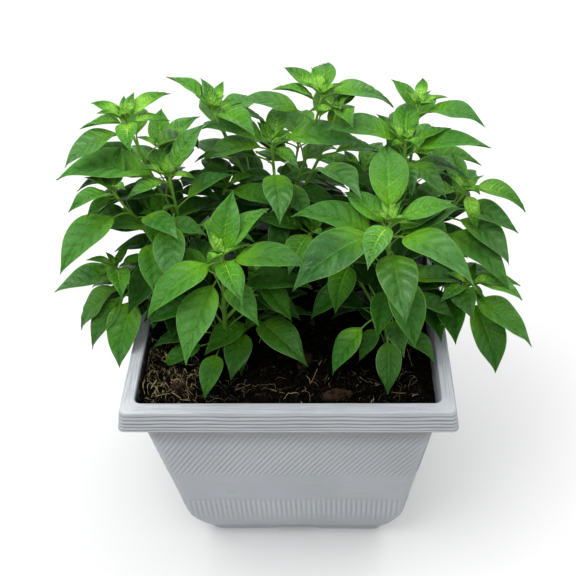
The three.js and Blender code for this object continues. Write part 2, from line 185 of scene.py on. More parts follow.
def tube(points: Array, radii: Array, sides: int, squash: float = 1.0) -> tuple[Array, Array]:
    """Return a closed tube along points.

    Args:
        points: The middle line, one point a row.
        radii: The radius at each point.
        sides: How many sides the tube has.
        squash: The share of its radius that it keeps across its flat way.

    Returns:
        Its vertices and its faces.
    """
    along = np.gradient(points, axis=0)
    along /= np.linalg.norm(along, axis=1, keepdims=True)
    side = np.cross(unit(points[-1] - points[0]), [0.0, 0.0, 1.0])
    side = unit(side) if np.linalg.norm(side) > 1e-3 else np.array([1.0, 0.0, 0.0])
    normal = np.cross(along, side)
    normal /= np.linalg.norm(normal, axis=1, keepdims=True)
    across = np.cross(normal, along)
    angle = np.linspace(0.0, FULL_TURN, sides, endpoint=False)
    wide = np.cos(angle)[None, :, None] * across[:, None, :]
    high = squash * np.sin(angle)[None, :, None] * normal[:, None, :]
    rings = points[:, None, :] + radii[:, None, None] * (wide + high)
    vertices = np.concatenate((rings.reshape(-1, 3), points[:1], points[-1:]))
    return vertices, stack_faces(len(points), sides)


def link(made: bpy.types.Object) -> None:
    """Put an object in the scene."""
    bpy.context.scene.collection.objects.link(made)


@dataclass
class MeshParts:
    """Vertices, faces and vertex attributes gathered for one piece."""

    vertices: list[Array] = field(default_factory=list)
    faces: list[Array] = field(default_factory=list)
    place: list[Array] = field(default_factory=list)
    tone: list[Array] = field(default_factory=list)
    count: int = 0

    def add(self, vertices: Array, faces: Array, tone: Array | tuple, place: Array | tuple = NO_PLACE) -> None:
        """Add one shell.

        Args:
            vertices: Its points in millimetres, one a row.
            faces: Rows of four corner indices, the last one repeated in a triangle.
            tone: Four values for each vertex, or for all, that the finish reads as "tone".
            place: Three values for each vertex, or for all, that the finish reads as "place".
        """
        self.vertices.append(np.asarray(vertices, float) * MM)
        self.faces.append(np.asarray(faces, int) + self.count)
        self.place.append(np.broadcast_to(np.asarray(place, float), (len(vertices), 3)))
        self.tone.append(np.broadcast_to(np.asarray(tone, float), (len(vertices), 4)))
        self.count += len(vertices)

    def build(self, name: str, material: Material, slot: Slot, *nodes: str) -> None:
        """Make the piece, and let it stand for its CAD nodes.

        Args:
            name: The piece's name.
            material: Its finish.
            slot: The record's slot for its finish, which is not used.
            nodes: The CAD nodes that it replaces.
        """
        corners = np.concatenate(self.faces)
        is_quad = corners[:, 2] != corners[:, 3]
        faces = corners[is_quad].tolist() + corners[~is_quad][:, :3].tolist()
        mesh = bpy.data.meshes.new(name)
        mesh.from_pydata(np.concatenate(self.vertices).tolist(), [], faces)
        place = mesh.attributes.new("place", "FLOAT_VECTOR", "POINT")
        place.data.foreach_set("vector", np.concatenate(self.place).ravel())
        tone = mesh.attributes.new("tone", "FLOAT_COLOR", "POINT")
        tone.data.foreach_set("color", np.concatenate(self.tone).ravel())
        mesh.polygons.foreach_set("use_smooth", np.ones(len(mesh.polygons), bool))
        mesh.materials.append(material)
        mesh.update()
        piece = bpy.data.objects.new(name, mesh)
        link(piece)
        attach(piece, Body.ROOT.value)
        if nodes:
            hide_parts(*nodes)
        log.info("%s: %d faces", name, len(mesh.polygons))


class Shader:
    """A node material under construction, with short calls for the nodes that the finishes use."""

    def __init__(self, name: str) -> None:
        """Start a material that holds one Principled shader."""
        self.material = bpy.data.materials.new(name)
        self.material.use_nodes = True
        self.tree = self.material.node_tree
        self.surface = self.tree.nodes["Principled BSDF"]

    def node(self, kind: str, **settings: object) -> bpy.types.Node:
        """Return a new node with its properties set."""
        made = self.tree.nodes.new(kind)
        for key, value in settings.items():
            setattr(made, key, value)
        return made

    def feed(self, socket: Socket, value: object) -> None:
        """Link an output to a socket, or set the socket's own value."""
        if isinstance(value, bpy.types.NodeSocket):
            self.tree.links.new(value, socket)
        elif isinstance(value, tuple) and len(value) == 3 and socket.type == "RGBA":
            socket.default_value = (*value, 1.0)
        else:
            socket.default_value = value

    def math(self, operation: str, first: object, second: object = 0.0, clamp: bool = False) -> Socket:
        """Return the output of a Math node."""
        made = self.node("ShaderNodeMath", operation=operation, use_clamp=clamp)
        self.feed(made.inputs[0], first)
        self.feed(made.inputs[1], second)
        return made.outputs[0]

    def times(self, *factors: object) -> Socket:
        """Return the product of two values or more."""
        product = factors[0]
        for factor in factors[1:]:
            product = self.math("MULTIPLY", product, factor)
        return product

    def chance(self, luck: object, draw: float) -> Socket:
        """Return a leaf's chance from 0 to 1, a different one for each draw."""
        return self.math("FRACT", self.times(luck, draw))

    def step(self, value: object, low: float, high: float, start: float = 0.0, end: float = 1.0) -> Socket:
        """Add a smooth step.

        Args:
            value: The value to step.
            low: Where the step starts.
            high: Where it ends.
            start: The result at low.
            end: The result at high.

        Returns:
            The stepped value.
        """
        made = self.node("ShaderNodeMapRange", interpolation_type="SMOOTHSTEP")
        for socket, number in zip(made.inputs[:5], (value, low, high, start, end)):
            self.feed(socket, number)
        return made.outputs[0]

    def mix(self, factor: object, first: object, second: object, blend: str = "MIX") -> Socket:
        """Add a colour Mix node.

        Args:
            factor: How much of the second colour there is.
            first: The colour at 0.
            second: The colour at 1.
            blend: How the two are blended.

        Returns:
            Its output.
        """
        made = self.node("ShaderNodeMix", data_type="RGBA", blend_type=blend)
        for index, value in ((0, factor), (6, first), (7, second)):
            self.feed(made.inputs[index], value)
        return made.outputs[2]

    def dim(self, color: object, light: Socket) -> Socket:
        """Return a colour made darker where the light is under 1."""
        return self.mix(1.0, color, self.mix(light, BLACK, WHITE), "MULTIPLY")

    def read(self, name: str) -> tuple[Socket, ...]:
        """Return the four parts of a vertex attribute."""
        made = self.node("ShaderNodeAttribute", attribute_name=name)
        parts = self.node("ShaderNodeSeparateXYZ")
        self.feed(parts.inputs[0], made.outputs["Vector"])
        return (*parts.outputs, made.outputs["Alpha"])

    def vector(self, *parts: object) -> Socket:
        """Return a vector of up to three parts."""
        made = self.node("ShaderNodeCombineXYZ")
        for socket, part in zip(made.inputs, parts):
            self.feed(socket, part)
        return made.outputs[0]

    def noise(self, scale: float, detail: float, vector: object = None, rough: float = 0.5) -> Socket:
        """Add a noise.

        Args:
            scale: How fine it is.
            detail: How many finer layers it has.
            vector: Where it is read, or None for object space.
            rough: How strong the finer layers are.

        Returns:
            The noise value.
        """
        made = self.node("ShaderNodeTexNoise")
        place = self.node("ShaderNodeTexCoord").outputs["Object"] if vector is None else vector
        for key, value in (("Vector", place), ("Scale", scale), ("Detail", detail), ("Roughness", rough)):
            self.feed(made.inputs[key], value)
        return made.outputs["Fac"]

    def cell_edges(self, scale: float) -> Socket:
        """Return the distance to the nearest edge in a net of cells."""
        made = self.node("ShaderNodeTexVoronoi", feature="DISTANCE_TO_EDGE")
        self.feed(made.inputs["Vector"], self.node("ShaderNodeTexCoord").outputs["Object"])
        self.feed(made.inputs["Scale"], scale)
        return made.outputs["Distance"]

    def bump(self, height: object, strength: float, distance: float) -> None:
        """Add a bump to the shader's normal."""
        made = self.node("ShaderNodeBump")
        for key, value in (("Strength", strength), ("Distance", distance), ("Height", height)):
            self.feed(made.inputs[key], value)
        self.feed(self.surface.inputs["Normal"], made.outputs[0])

    def finish(self, color: object, roughness: object, **constants: object) -> None:
        """Set the shader's own sockets.

        Args:
            color: The base colour, or the output that gives it.
            roughness: The roughness, or its output.
            constants: Values of other sockets, spaces written as underscores.
        """
        self.feed(self.surface.inputs["Base Color"], color)
        self.feed(self.surface.inputs["Roughness"], roughness)
        for key, value in constants.items():
            self.surface.inputs[key.replace("_", " ")].default_value = value


class Finish:
    """A finish that paints a new node material."""

    def material(self, name: str) -> Material:
        """Build the material.

        Args:
            name: The material's name.

        Returns:
            The finished material.
        """
        shader = Shader(name)
        self.paint(shader)
        return shader.material

    def paint(self, shader: Shader) -> None:
        """Lay the finish on a shader.

        Args:
            shader: The new material's shader.
        """
        raise NotImplementedError


@dataclass(frozen=True)
class LeafFinish(Finish):
    """Leaf green, yellow-green where it is young, with veins and a pale margin."""

    grown: Color = (0.015, 0.104, 0.008)
    grown_light: Color = (0.058, 0.23, 0.013)
    dull: Color = (0.048, 0.165, 0.022)
    sheen: Color = (0.16, 0.315, 0.135)
    shaded: Color = (0.006, 0.042, 0.001)
    young: Color = (0.15, 0.4, 0.004)
    bud: Color = (0.21, 0.49, 0.035)
    panel: Color = (0.072, 0.262, 0.01)
    vein: Color = (0.26, 0.5, 0.06)
    young_vein_and_highlight: Color = (0.6, 0.8, 0.34)
    under: Color = (0.02, 0.085, 0.01)
    under_young: Color = (0.13, 0.3, 0.02)
    margin: Color = (0.2, 0.4, 0.1)
    gloss: float = 0.18
    cloud_scale: float = 60.0
    sheen_scale: float = 48.0
    broken_scale: float = 170.0
    swell_scale: float = 110.0
    cell_scale: float = 330.0
    grain_scale: float = 700.0
    bump_height: float = 0.0012

    def grown_color(self, shader: Shader, cloud: Socket, luck: Socket, low: Socket) -> Socket:
        """Return the green of a grown blade.

        Args:
            shader: The new material's shader.
            cloud: Slow noise over the blades.
            luck: The leaf's own chance.
            low: How shaded the leaf is.

        Returns:
            The colour.
        """
        patch = shader.math("SUBTRACT", shader.math("ADD", cloud, shader.times(luck, 0.7)), 0.4, clamp=True)
        grown = shader.mix(patch, self.grown, self.grown_light)
        odd = shader.step(shader.chance(luck, 7.0), 0.4, 0.8)
        grown = shader.mix(shader.times(odd, shader.step(cloud, 0.3, 0.6, 0.3, 0.8)), grown, self.dull)
        grown = shader.dim(grown, shader.step(shader.chance(luck, 13.0), 0.0, 1.0, 0.66, 1.2))
        # Painted shade: low and covered leaves are painted dark green.
        return shader.mix(shader.times(low, 0.9), grown, self.shaded)

    def raise_relief(self, shader: Shader, age: Socket, hollow: Socket, grain: Socket) -> None:
        """Add the blade's bump: fine cells and grain, hollow veins and slow swells.

        Args:
            shader: The new material's shader.
            age: The leaf's youth.
            hollow: Where the side veins lie.
            grain: Fine noise over the blades.
        """
        net = shader.step(shader.cell_edges(self.cell_scale), 0.0, 0.12)
        height = shader.math("ADD", shader.times(net, 0.16), shader.times(grain, 0.3))
        height = shader.math("SUBTRACT", height, shader.times(hollow, shader.step(age, 0.0, 0.7, 0.42, 0.9)))
        height = shader.math("ADD", height, shader.times(shader.noise(self.swell_scale, 2.0), 1.5))
        shader.bump(height, 0.8, self.bump_height)

    def paint(self, shader: Shader) -> None:
        """Lay the finish on a shader, by each vertex's place on its blade and the leaf's tone.

        Args:
            shader: The new material's shader.
        """
        across, vein_turn, along, _ = shader.read("place")
        age, luck, under, low = shader.read("tone")
        edge = shader.math("ABSOLUTE", across)
        cloud = shader.noise(self.cloud_scale, 4.0)
        grown = self.grown_color(shader, cloud, luck, low)
        youth = shader.times(age, shader.step(along, 0.0, 1.0, 1.5, 0.25))
        youth = shader.math("MULTIPLY", youth, shader.step(edge, 0.0, 1.0, 1.12, 0.82), clamp=True)

        # The turn is 0.5 on a side vein and 0 halfway between two.
        turn = shader.math("ABSOLUTE", shader.math("SUBTRACT", shader.math("FRACT", vein_turn), 0.5))
        inside = shader.times(shader.step(edge, 0.98, 0.5), shader.step(along, 0.98, 0.8))
        hollow = shader.times(shader.step(turn, 0.2, 0.5), inside)
        broken = shader.step(shader.noise(self.broken_scale, 3.0), 0.35, 0.6, 0.25, 1.0)
        tender = shader.mix(shader.step(youth, 0.62, 1.0), self.young, self.bud)
        bright = shader.math("MAXIMUM", shader.times(hollow, broken), shader.step(youth, 0.55, 1.05))
        color = shader.mix(youth, grown, shader.mix(bright, self.panel, tender))
        # Painted shade darkens the hollows along the side veins of grown leaves, with a little painted light between
        # them.
        painted_light = shader.times(hollow, shader.step(youth, 0.4, 0.0))
        color = shader.dim(color, shader.step(painted_light, 0.0, 1.0, 1.04, 0.76))

        # Painted sheen: pale grey-green is painted on the swellings between the veins and towards the tip.
        swelling = shader.times(shader.step(turn, 0.32, 0.05), shader.step(edge, 0.05, 0.3))
        swelling = shader.math("MAXIMUM", swelling, shader.step(along, 0.35, 0.95, 0.0, 0.9))
        patchy = shader.times(
            shader.step(shader.noise(self.sheen_scale, 5.0, rough=0.6), 0.36, 0.66, 0.0, 0.56),
            shader.step(shader.chance(luck, 5.0), 0.25, 0.85, 0.3, 1.0),
            shader.step(low, 0.5, 0.1))
        color = shader.mix(shader.times(swelling, patchy), color, self.sheen)

        # The veins are pale in young leaves and fade towards the tip. In the youngest leaves their near-white colour
        # is a painted highlight.
        vein = shader.times(
            shader.step(turn, 0.43, 0.5), inside, shader.step(youth, 0.15, 0.95, 0.08, 0.9),
            broken, shader.step(along, 0.2, 0.8, 1.0, 0.3))
        midrib = shader.times(
            shader.step(edge, 0.045, 0.012), shader.step(youth, 0.0, 0.8, 0.09, 0.65),
            shader.step(along, 0.3, 0.9, 1.0, 0.5))
        pale = shader.mix(shader.step(youth, 0.5, 1.0), self.vein, self.young_vein_and_highlight)
        color = shader.mix(shader.math("MAXIMUM", vein, midrib), color, pale)

        below = shader.mix(age, self.under, self.under_young)
        color = shader.mix(shader.times(under, 0.8), color, below)
        glow = shader.times(
            shader.step(along, 0.45, 0.0, 0.0, 0.6), shader.step(age, 0.6, 0.2), shader.step(low, 0.7, 0.2))
        color = shader.mix(glow, color, self.young)
        color = shader.mix(shader.step(edge, 0.945, 0.99, 0.0, 0.7), color, self.margin)
        grain = shader.noise(self.grain_scale, 3.0)
        color = shader.dim(color, shader.step(grain, 0.3, 0.7, 0.74, 1.18))
        self.raise_relief(shader, age, hollow, grain)
        roughness = shader.step(shader.math("ADD", cloud, luck), 0.5, 1.3, 0.3, 0.5)
        roughness = shader.math("SUBTRACT", roughness, shader.times(youth, 0.1))
        shader.finish(
            color, roughness, Specular_IOR_Level=self.gloss, Subsurface_Weight=0.2,
            Subsurface_Radius=(0.45, 1.0, 0.1), Subsurface_Scale=0.0014)


@dataclass(frozen=True)
class StemFinish(Finish):
    """Green stem and petiole skin, paler where it is young and brown near the soil."""

    grown: Color = (0.075, 0.2, 0.015)
    young: Color = (0.19, 0.4, 0.04)
    woody: Color = (0.06, 0.052, 0.022)
    bump_height: float = 0.0003

    def paint(self, shader: Shader) -> None:
        """Lay the finish on a shader, by each vertex's age and woodiness.

        Args:
            shader: The new material's shader.
        """
        age, luck, woody, _ = shader.read("tone")
        around, along, _, _ = shader.read("place")
        grain = shader.noise(2.5, 4.0, shader.vector(shader.times(around, 3.0), shader.times(along, 0.12)))
        color = shader.mix(woody, shader.mix(age, self.grown, self.young), self.woody)
        color = shader.dim(color, shader.step(grain, 0.3, 0.7, 0.72, 1.18))
        shader.bump(grain, 0.4, self.bump_height)
        shader.finish(
            color, shader.step(luck, 0.0, 1.0, 0.42, 0.52), Specular_IOR_Level=0.25, Subsurface_Weight=0.1,
            Subsurface_Radius=(0.5, 1.0, 0.2), Subsurface_Scale=0.001)


@dataclass(frozen=True)
class PlanterFinish(Finish):
    """Moulded pale grey plastic with faint streaks, smudges and fine pitting."""

    plastic: Color = (0.352, 0.366, 0.4)
    painted_light: Color = (0.53, 0.55, 0.58)
    greenish: Color = (0.346, 0.372, 0.384)
    streak: Color = (0.255, 0.275, 0.295)
    dust_and_shade: Color = (0.15, 0.148, 0.142)
    soil: Color = (0.008, 0.007, 0.006)
    cloud_scale: float = 14.0
    tint_scale: float = 22.0
    smudge_scale: float = 42.0
    ragged_scale: float = 240.0
    pitting_scale: float = 1600.0
    bump_height: float = 0.0003

    def paint(self, shader: Shader) -> None:
        """Lay the finish on a shader, by the way along each side, its dust, and the shade and highlights painted
        there.

        Args:
            shader: The new material's shader.
        """
        side_way, profile_way, side, _ = shader.read("place")
        dust_and_shade, grainy, painted_shade, unhighlighted = shader.read("tone")
        stretched = shader.vector(
            shader.times(side_way, 0.018), shader.times(profile_way, 0.62), shader.times(side, 7.0))
        grain = shader.noise(1.4, 5.0, stretched, 0.6)
        streaks = shader.times(shader.step(grain, 0.38, 0.66), grainy)
        cloud = shader.noise(self.cloud_scale, 4.0)
        tint = shader.step(shader.noise(self.tint_scale, 5.0), 0.4, 0.62)
        smudge = shader.step(shader.noise(self.smudge_scale, 6.0, rough=0.65), 0.63, 0.78, 0.0, 0.4)
        ragged = shader.step(shader.noise(self.ragged_scale, 5.0), 0.3, 0.5, 0.5, 1.0)
        color = shader.mix(tint, self.plastic, self.greenish)
        # Painted highlights lighten the rib crests and the rim's left end. Smudges are real dust. Painted shade
        # darkens the lip's grooves, the rib valleys, the band under the lip and the right side, and soil dust with
        # painted shade blackens the inside wall towards the soil.
        for share, over in (
            (shader.math("SUBTRACT", 1.0, unhighlighted), self.painted_light),
            (shader.times(streaks, 0.8), self.streak),
            (smudge, self.dust_and_shade),
            (shader.step(cloud, 0.35, 0.75, 0.0, 0.25), self.streak),
            (shader.times(painted_shade, 0.62), self.dust_and_shade),
            (shader.times(dust_and_shade, ragged), self.soil),
        ):
            color = shader.mix(share, color, over)
        pitting = shader.noise(self.pitting_scale, 2.0)
        shader.bump(shader.math("ADD", shader.times(streaks, -1.6), pitting), 0.35, self.bump_height)
        shader.finish(color, shader.step(cloud, 0.3, 0.7, 0.42, 0.56), Specular_IOR_Level=0.45)


@dataclass(frozen=True)
class EarthFinish(Finish):
    """Potting soil, bark or fibre: a tone from each vertex, broken up by grain."""

    dark: Color = (0.0009, 0.0007, 0.0006)
    brown: Color = (0.007, 0.005, 0.0035)
    straw: Color = (0.4, 0.29, 0.15)
    coarse: float = 260.0
    bump_height: float = 0.0022

    def paint(self, shader: Shader) -> None:
        """Lay the finish on a shader, by how brown and how straw-like each vertex is.

        Args:
            shader: The new material's shader.
        """
        brown, straw, _, _ = shader.read("tone")
        clods = shader.noise(self.coarse, 8.0, rough=0.7)
        color = shader.mix(shader.times(brown, shader.step(clods, 0.35, 0.65)), self.dark, self.brown)
        color = shader.mix(straw, color, self.straw)
        speck = shader.step(shader.noise(self.coarse * 4.0, 4.0), 0.6, 0.7, 0.0, 0.16)
        color = shader.mix(speck, color, self.straw)
        color = shader.dim(color, shader.step(shader.noise(self.coarse * 0.4, 6.0), 0.3, 0.7, 0.25, 1.6))
        shader.bump(clods, 1.0, self.bump_height)
        shader.finish(color, 0.9, Specular_IOR_Level=0.02)


@dataclass(frozen=True)
class FloorFinish(Finish):
    """The plain pale floor."""

    pale: Color = (0.62, 0.62, 0.62)
    paler: Color = (0.65, 0.65, 0.65)

    def paint(self, shader: Shader) -> None:
        """Lay the plain finish on a shader."""
        shader.finish(shader.mix(shader.noise(2.0, 2.0), self.pale, self.paler), 0.9, Specular_IOR_Level=0.1)


@dataclass(frozen=True)
class RingPoints:
    """A rounded square ring of points, run anticlockwise from the front side's left end."""

    x: Array
    y: Array
    out_x: Array
    out_y: Array
    run: Array
    side: Array
    reach: float


def square_ring(half: float, radius: float, side_columns: int, corner_columns: int) -> RingPoints:
    """Return a rounded square ring.

    Args:
        half: Half its width.
        radius: The radius of its corners.
        side_columns: How many points each straight side has.
        corner_columns: How many points lie inside each corner.

    Returns:
        The ring's points, their outward directions and their run along their own side.
    """
    reach = half - radius
    straight = np.linspace(-reach, reach, side_columns)
    angle = np.linspace(-math.pi / 2, 0.0, corner_columns + 2)[1:-1]
    x = np.concatenate((straight, reach + radius * np.cos(angle)))
    y = np.concatenate((np.full(side_columns, -half), -reach + radius * np.sin(angle)))
    out_x = np.concatenate((np.zeros(side_columns), np.cos(angle)))
    out_y = np.concatenate((np.full(side_columns, -1.0), np.sin(angle)))
    run = np.concatenate((straight, reach + radius * (angle + math.pi / 2)))
    turned = [(*quarter_turn(x, y, side), *quarter_turn(out_x, out_y, side)) for side in range(4)]
    columns = [np.concatenate(parts) for parts in zip(*turned)]
    return RingPoints(*columns, np.tile(run, 4), np.repeat(np.arange(4.0), len(run)), reach)


class Zone(Enum):
    """The parts of the planter's wall, which differ in their relief."""

    RIM = "rim"
    LIP = "lip"
    HIDDEN = "hidden"
    BODY = "body"
    BASE = "base"
    INSIDE = "inside"


GRAIN_OF_ZONE = {Zone.RIM: 1.0, Zone.LIP: 0.7}
SectionRow = tuple[float, float, Zone]


@dataclass(frozen=True)
class RibBand:
    """One band of ribs: where they lie below the rim, how they stand, and how they die away."""

    top: float
    bottom: float
    top_jitter: Pair
    bottom_jitter: Pair
    pitch: float
    lean: float
    height: float
    swell: float
    fall: float
    point: float
    painted_shade: float


@dataclass
class Planter:
    """The square planter: rim, grooved lip, ribbed body, arched base and drain holes.

    Levels are heights over the ground, and depths are measured down from the rim. The foot's edge and
    hollow are each a height, a depth and a width. Sides are counted anticlockwise from the front.
    """

    height: float = 250.0
    rim_half: float = 140.0
    rim_thickness: float = 2.6
    rim_round: float = 1.2
    rim_lines: Numbers = (4.5, 8.0)
    rim_edge_round: float = 1.7
    lip_depth: float = 21.0
    lip_flare: float = 3.7
    lip_lines: Numbers = (2.1, 2.5, 3.5, 7.0, 10.9, 14.5, 17.7)
    wall: float = 2.6
    floor: float = 8.0
    corner: float = 9.0
    rim_corner: float = 6.0
    top_half: float = 129.0
    top_level: float = 229.0
    low_half: float = 109.0
    low_level: float = 58.0
    base_half: float = 88.0
    base_power: float = 1.75
    base_insets: Numbers = (0.6, 2.5, 8.0, 13.0)
    arch_width: float = 54.0
    arch_slope: float = 14.0
    arch_height: float = 4.5
    arch_top: float = 12.0
    drain_radius: float = 6.0
    drain_offset: float = 45.0
    drain_columns: int = 64
    plate_half: float = 70.0
    plate_overlap: float = 0.4
    side_columns: int = 72
    corner_columns: int = 8
    grooves: tuple[Pair, ...] = (
        (1.9, 0.35), (5.0, 1.5), (9.0, 1.6), (12.8, 1.6), (16.2, 1.6), (19.2, 1.1))
    groove_width: float = 0.72
    groove_lines: Numbers = (-1.05, -0.65, -0.3, 0.0, 0.3, 0.65, 1.05)
    body_lines: Numbers = (
        10.0, 18.0, 24.0, *np.linspace(30.0, 192.0, 19), 196.0, 201.0, 206.0, 211.0, 216.0,
        221.0, 227.0, 232.0, 236.0, 239.0, 241.5, 243.5, 245.5, 247.2, 248.8)
    inside_levels: Numbers = (
        9.5, 20.0, 33.0, 46.0, 58.0, 120.0, 180.0, 222.0, 236.0, 241.0, 244.0, 246.0, 247.8)
    slant: RibBand = RibBand(
        top=38.0, bottom=120.0, top_jitter=(-3.0, 3.0), bottom_jitter=(-1.2, 0.8), pitch=5.18, lean=0.577,
        height=0.74, swell=26.0, fall=0.1, point=5.0, painted_shade=0.26)
    upright: RibBand = RibBand(
        top=162.0, bottom=215.0, top_jitter=(-1.6, 1.6), bottom_jitter=(-4.0, 2.0), pitch=4.9, lean=0.0,
        height=0.6, swell=2.5, fall=32.0, point=1.0, painted_shade=0.1)
    rib_sink: float = 0.3
    rib_gap_level: float = 0.07
    rib_rows: int = 15
    rib_across: Numbers = (-1.0, -0.98, -0.7, -0.38, 0.0, 0.38, 0.7, 0.98, 1.0)
    rib_section: Numbers = (0.0, 0.0, 0.3, 0.86, 1.0, 0.86, 0.3, 0.0, 0.0)
    dent: float = 0.3
    foot_edge: tuple[float, float, float] = (2.2, 250.0, 3.0)
    foot_hollow: tuple[float, float, float] = (1.8, 243.0, 3.8)
    under_lip_shade_strength: float = 0.95
    lip_shadow: Pair = (40.0, 68.0)
    right_shade_strength: float = 0.2
    right_shadow: Pair = (-20.0, 110.0)
    left_side: float = 3.0
    left_dust_levels: Pair = (248.5, 245.5)
    dust_levels: Pair = (246.0, 230.0)
    dust_share: float = 0.8
    rim_light_strength: float = 0.95
    rim_light_reach: Pair = (-50.0, -120.0)
    finish: PlanterFinish = PlanterFinish()

    def half_at(self, level: Values) -> Values:
        """Return half the body's outer width.

        Args:
            level: The height over the ground, or several.

        Returns:
            Half the width there.
        """
        slope = (self.top_half - self.low_half) / (self.top_level - self.low_level)
        round_in = self.low_half - slope * self.low_level - self.base_half
        depth = np.maximum(1.0 - level / self.low_level, 0.0)
        return self.low_half + slope * (level - self.low_level) - round_in * depth**self.base_power

    def rim_rows(self) -> list[SectionRow]:
        """Lay out the rim's and the lip's part of the wall's section.

        Returns:
            Rows from the rim's inner edge, round the lip, to the body just under the rim.
        """
        inner = self.half_at(self.height) - self.wall
        bend, edge = self.rim_round, self.rim_edge_round
        rows = [(inner + bend - bend * math.cos(turn), self.height - bend + bend * math.sin(turn), Zone.RIM)
                for turn in map(math.radians, (0.0, 30.0, 60.0, 90.0))]
        rows += [(inner + inset, self.height, Zone.RIM) for inset in self.rim_lines]
        rows += [(self.rim_half - edge + edge * math.sin(turn), self.height - edge + edge * math.cos(turn), Zone.RIM)
                 for turn in map(math.radians, (0.0, 22.0, 45.0, 68.0, 90.0))]
        depths = {middle + line for middle, _ in self.grooves[1:] for line in self.groove_lines}
        rows += [(self.rim_half + self.lip_flare * depth / self.lip_depth, self.height - depth, Zone.LIP)
                 for depth in sorted(depths | set(self.lip_lines))]
        lip = self.rim_half + self.lip_flare
        low = self.height - self.lip_depth
        under = self.height - self.rim_thickness
        return rows + [(half, level, Zone.HIDDEN) for half, level in (
            (lip - 0.15, low + 0.45), (lip - 0.8, low), (lip - self.rim_thickness, low),
            (self.rim_half - self.rim_thickness, under), (self.half_at(under) + 1.0, under),
            (self.half_at(under - 1.0), under - 1.0))]

    def profile(self) -> list[SectionRow]:
        """Lay out the wall's section as one closed loop.

        Returns:
            Rows of half width, level and zone.
        """
        rows = self.rim_rows()
        rows += [(self.half_at(self.height - depth), self.height - depth, Zone.BODY) for depth in self.body_lines]
        rows.append((self.base_half - 0.1, 0.4, Zone.BODY))
        rows += [(self.base_half - inset, 0.0, Zone.BASE) for inset in self.base_insets]
        rows += [(self.plate_half, 0.0, Zone.BASE), (self.plate_half, self.floor, Zone.INSIDE)]
        rows.append((self.half_at(self.floor) - self.wall - 1.5, self.floor, Zone.INSIDE))
        return rows + [(self.half_at(level) - self.wall, level, Zone.INSIDE) for level in self.inside_levels]

    def groove_relief(self, ring: RingPoints, depth: float) -> Array:
        """Return how far the lip's grooves cut in at each point of a row.

        Args:
            ring: The row's points.
            depth: The row's depth.

        Returns:
            The offsets, below 0 inwards.
        """
        cut = sum(deep * float(bump_at(depth, middle, self.groove_width)) for middle, deep in self.grooves)
        uneven = 0.88 + 0.12 * np.sin(ring.run / 11.0 + depth + 2.0 * ring.side)
        return -cut * uneven

    def lip_rise(self, ring: RingPoints, depth: float) -> Array:
        """Return how far the lip's lines wander up or down, less so at its edges and corners.

        Args:
            ring: The row's points.
            depth: The row's depth.

        Returns:
            The rises.
        """
        wave = 0.35 * np.sin(ring.run / 19.0 + ring.side) + 0.2 * np.sin(ring.run / 6.0 + 3.0 * ring.side)
        inward = min(depth, self.lip_depth - depth) / 4.0
        return wave * min(inward, 1.0) * (1.0 - smooth(ring.reach - 12.0, ring.reach, np.abs(ring.run)))

    def under_lip_shade(self, depth: Values) -> Values:
        """Return the painted shade on the wall under the lip, darkest just below it."""
        return self.under_lip_shade_strength * (1.0 - smooth(*self.lip_shadow, depth))

    def right_side_shade(self, x: Array) -> Array:
        """Return the painted shade that greys the body towards its right side."""
        return self.right_shade_strength * smooth(*self.right_shadow, x)

    def dust_and_shade(self, ring: RingPoints, level: float) -> Array:
        """Return how much soil dust and painted shade darken the inside, reaching highest on the left."""
        others = self.dust_share * smooth(*self.dust_levels, level)
        return np.where(ring.side == self.left_side, smooth(*self.left_dust_levels, level), others)

    def dents(self, run: Array, depth: Values, side: Values) -> Array:
        """Return the wall's slight unevenness."""
        return self.dent * np.sin(run / 37.0 + side * 1.7 + depth / 53.0)

    def foot_relief(self, depth: float) -> float:
        """Return how far the foot's edge stands out, and the hollow over it goes in."""
        (edge, *edge_at), (hollow, *hollow_at) = self.foot_edge, self.foot_hollow
        return edge * bump_at(depth, *edge_at) - hollow * bump_at(depth, *hollow_at)

    def arch(self, ring: RingPoints) -> Array:
        """Return the height of the arch in the middle of each side."""
        end = self.arch_width / 2
        return self.arch_height * (1.0 - smooth(end - self.arch_slope, end, np.abs(ring.run)))

    def add_rib(self, parts: MeshParts, side: int, start: float, band: RibBand, top: float, bottom: float) -> None:
        """Add one raised rib on a side of the body, sunk a little into the wall.

        Args:
            parts: Where the rib goes.
            side: The side, counted anticlockwise from the front.
            start: Where the rib's line meets the rim's level, along the side.
            band: The band that it belongs to.
            top: The depth at which it starts.
            bottom: The depth at which it ends.
        """
        depth = np.linspace(top, bottom, 120)
        reach = self.half_at(self.height - depth) - self.corner
        on_side = np.abs(start - band.lean * depth) < reach + self.corner * math.pi / 4 - 0.4
        if on_side.sum() < 12:
            return
        low, high = depth[on_side][[0, -1]]
        depth = np.linspace(low, high, self.rib_rows)
        reach = (self.half_at(self.height - depth) - self.corner)[:, None]
        run = start - band.lean * depth
        swell = smooth(top, top + band.swell, depth) * (1.0 - smooth(bottom - band.fall, bottom, depth))
        ends = smooth(low - 0.5, low + 3.0, depth) * (1.0 - smooth(high - band.point, high + 0.4, depth))
        plain = 1.0 - 0.85 * smooth(-5.0, 5.0, np.abs(run) - reach[:, 0])
        height = band.height * swell * plain * (0.3 + 0.7 * ends)
        raised = np.array(self.rib_section)
        out = self.rib_gap_level + raised * height[:, None]
        out[:, [0, -1]] = -self.rib_sink
        out[[0, -1]] = -self.rib_sink
        out = out + self.dents(run, depth, float(side))[:, None] + self.corner
        way = run[:, None] + np.array(self.rib_across) * (band.pitch / 2)
        turn = np.maximum(np.abs(way) - reach, 0.0) / self.corner
        x = np.sign(way) * (np.minimum(np.abs(way), reach) + out * np.sin(turn))
        z = np.broadcast_to((self.height - depth)[:, None], x.shape)
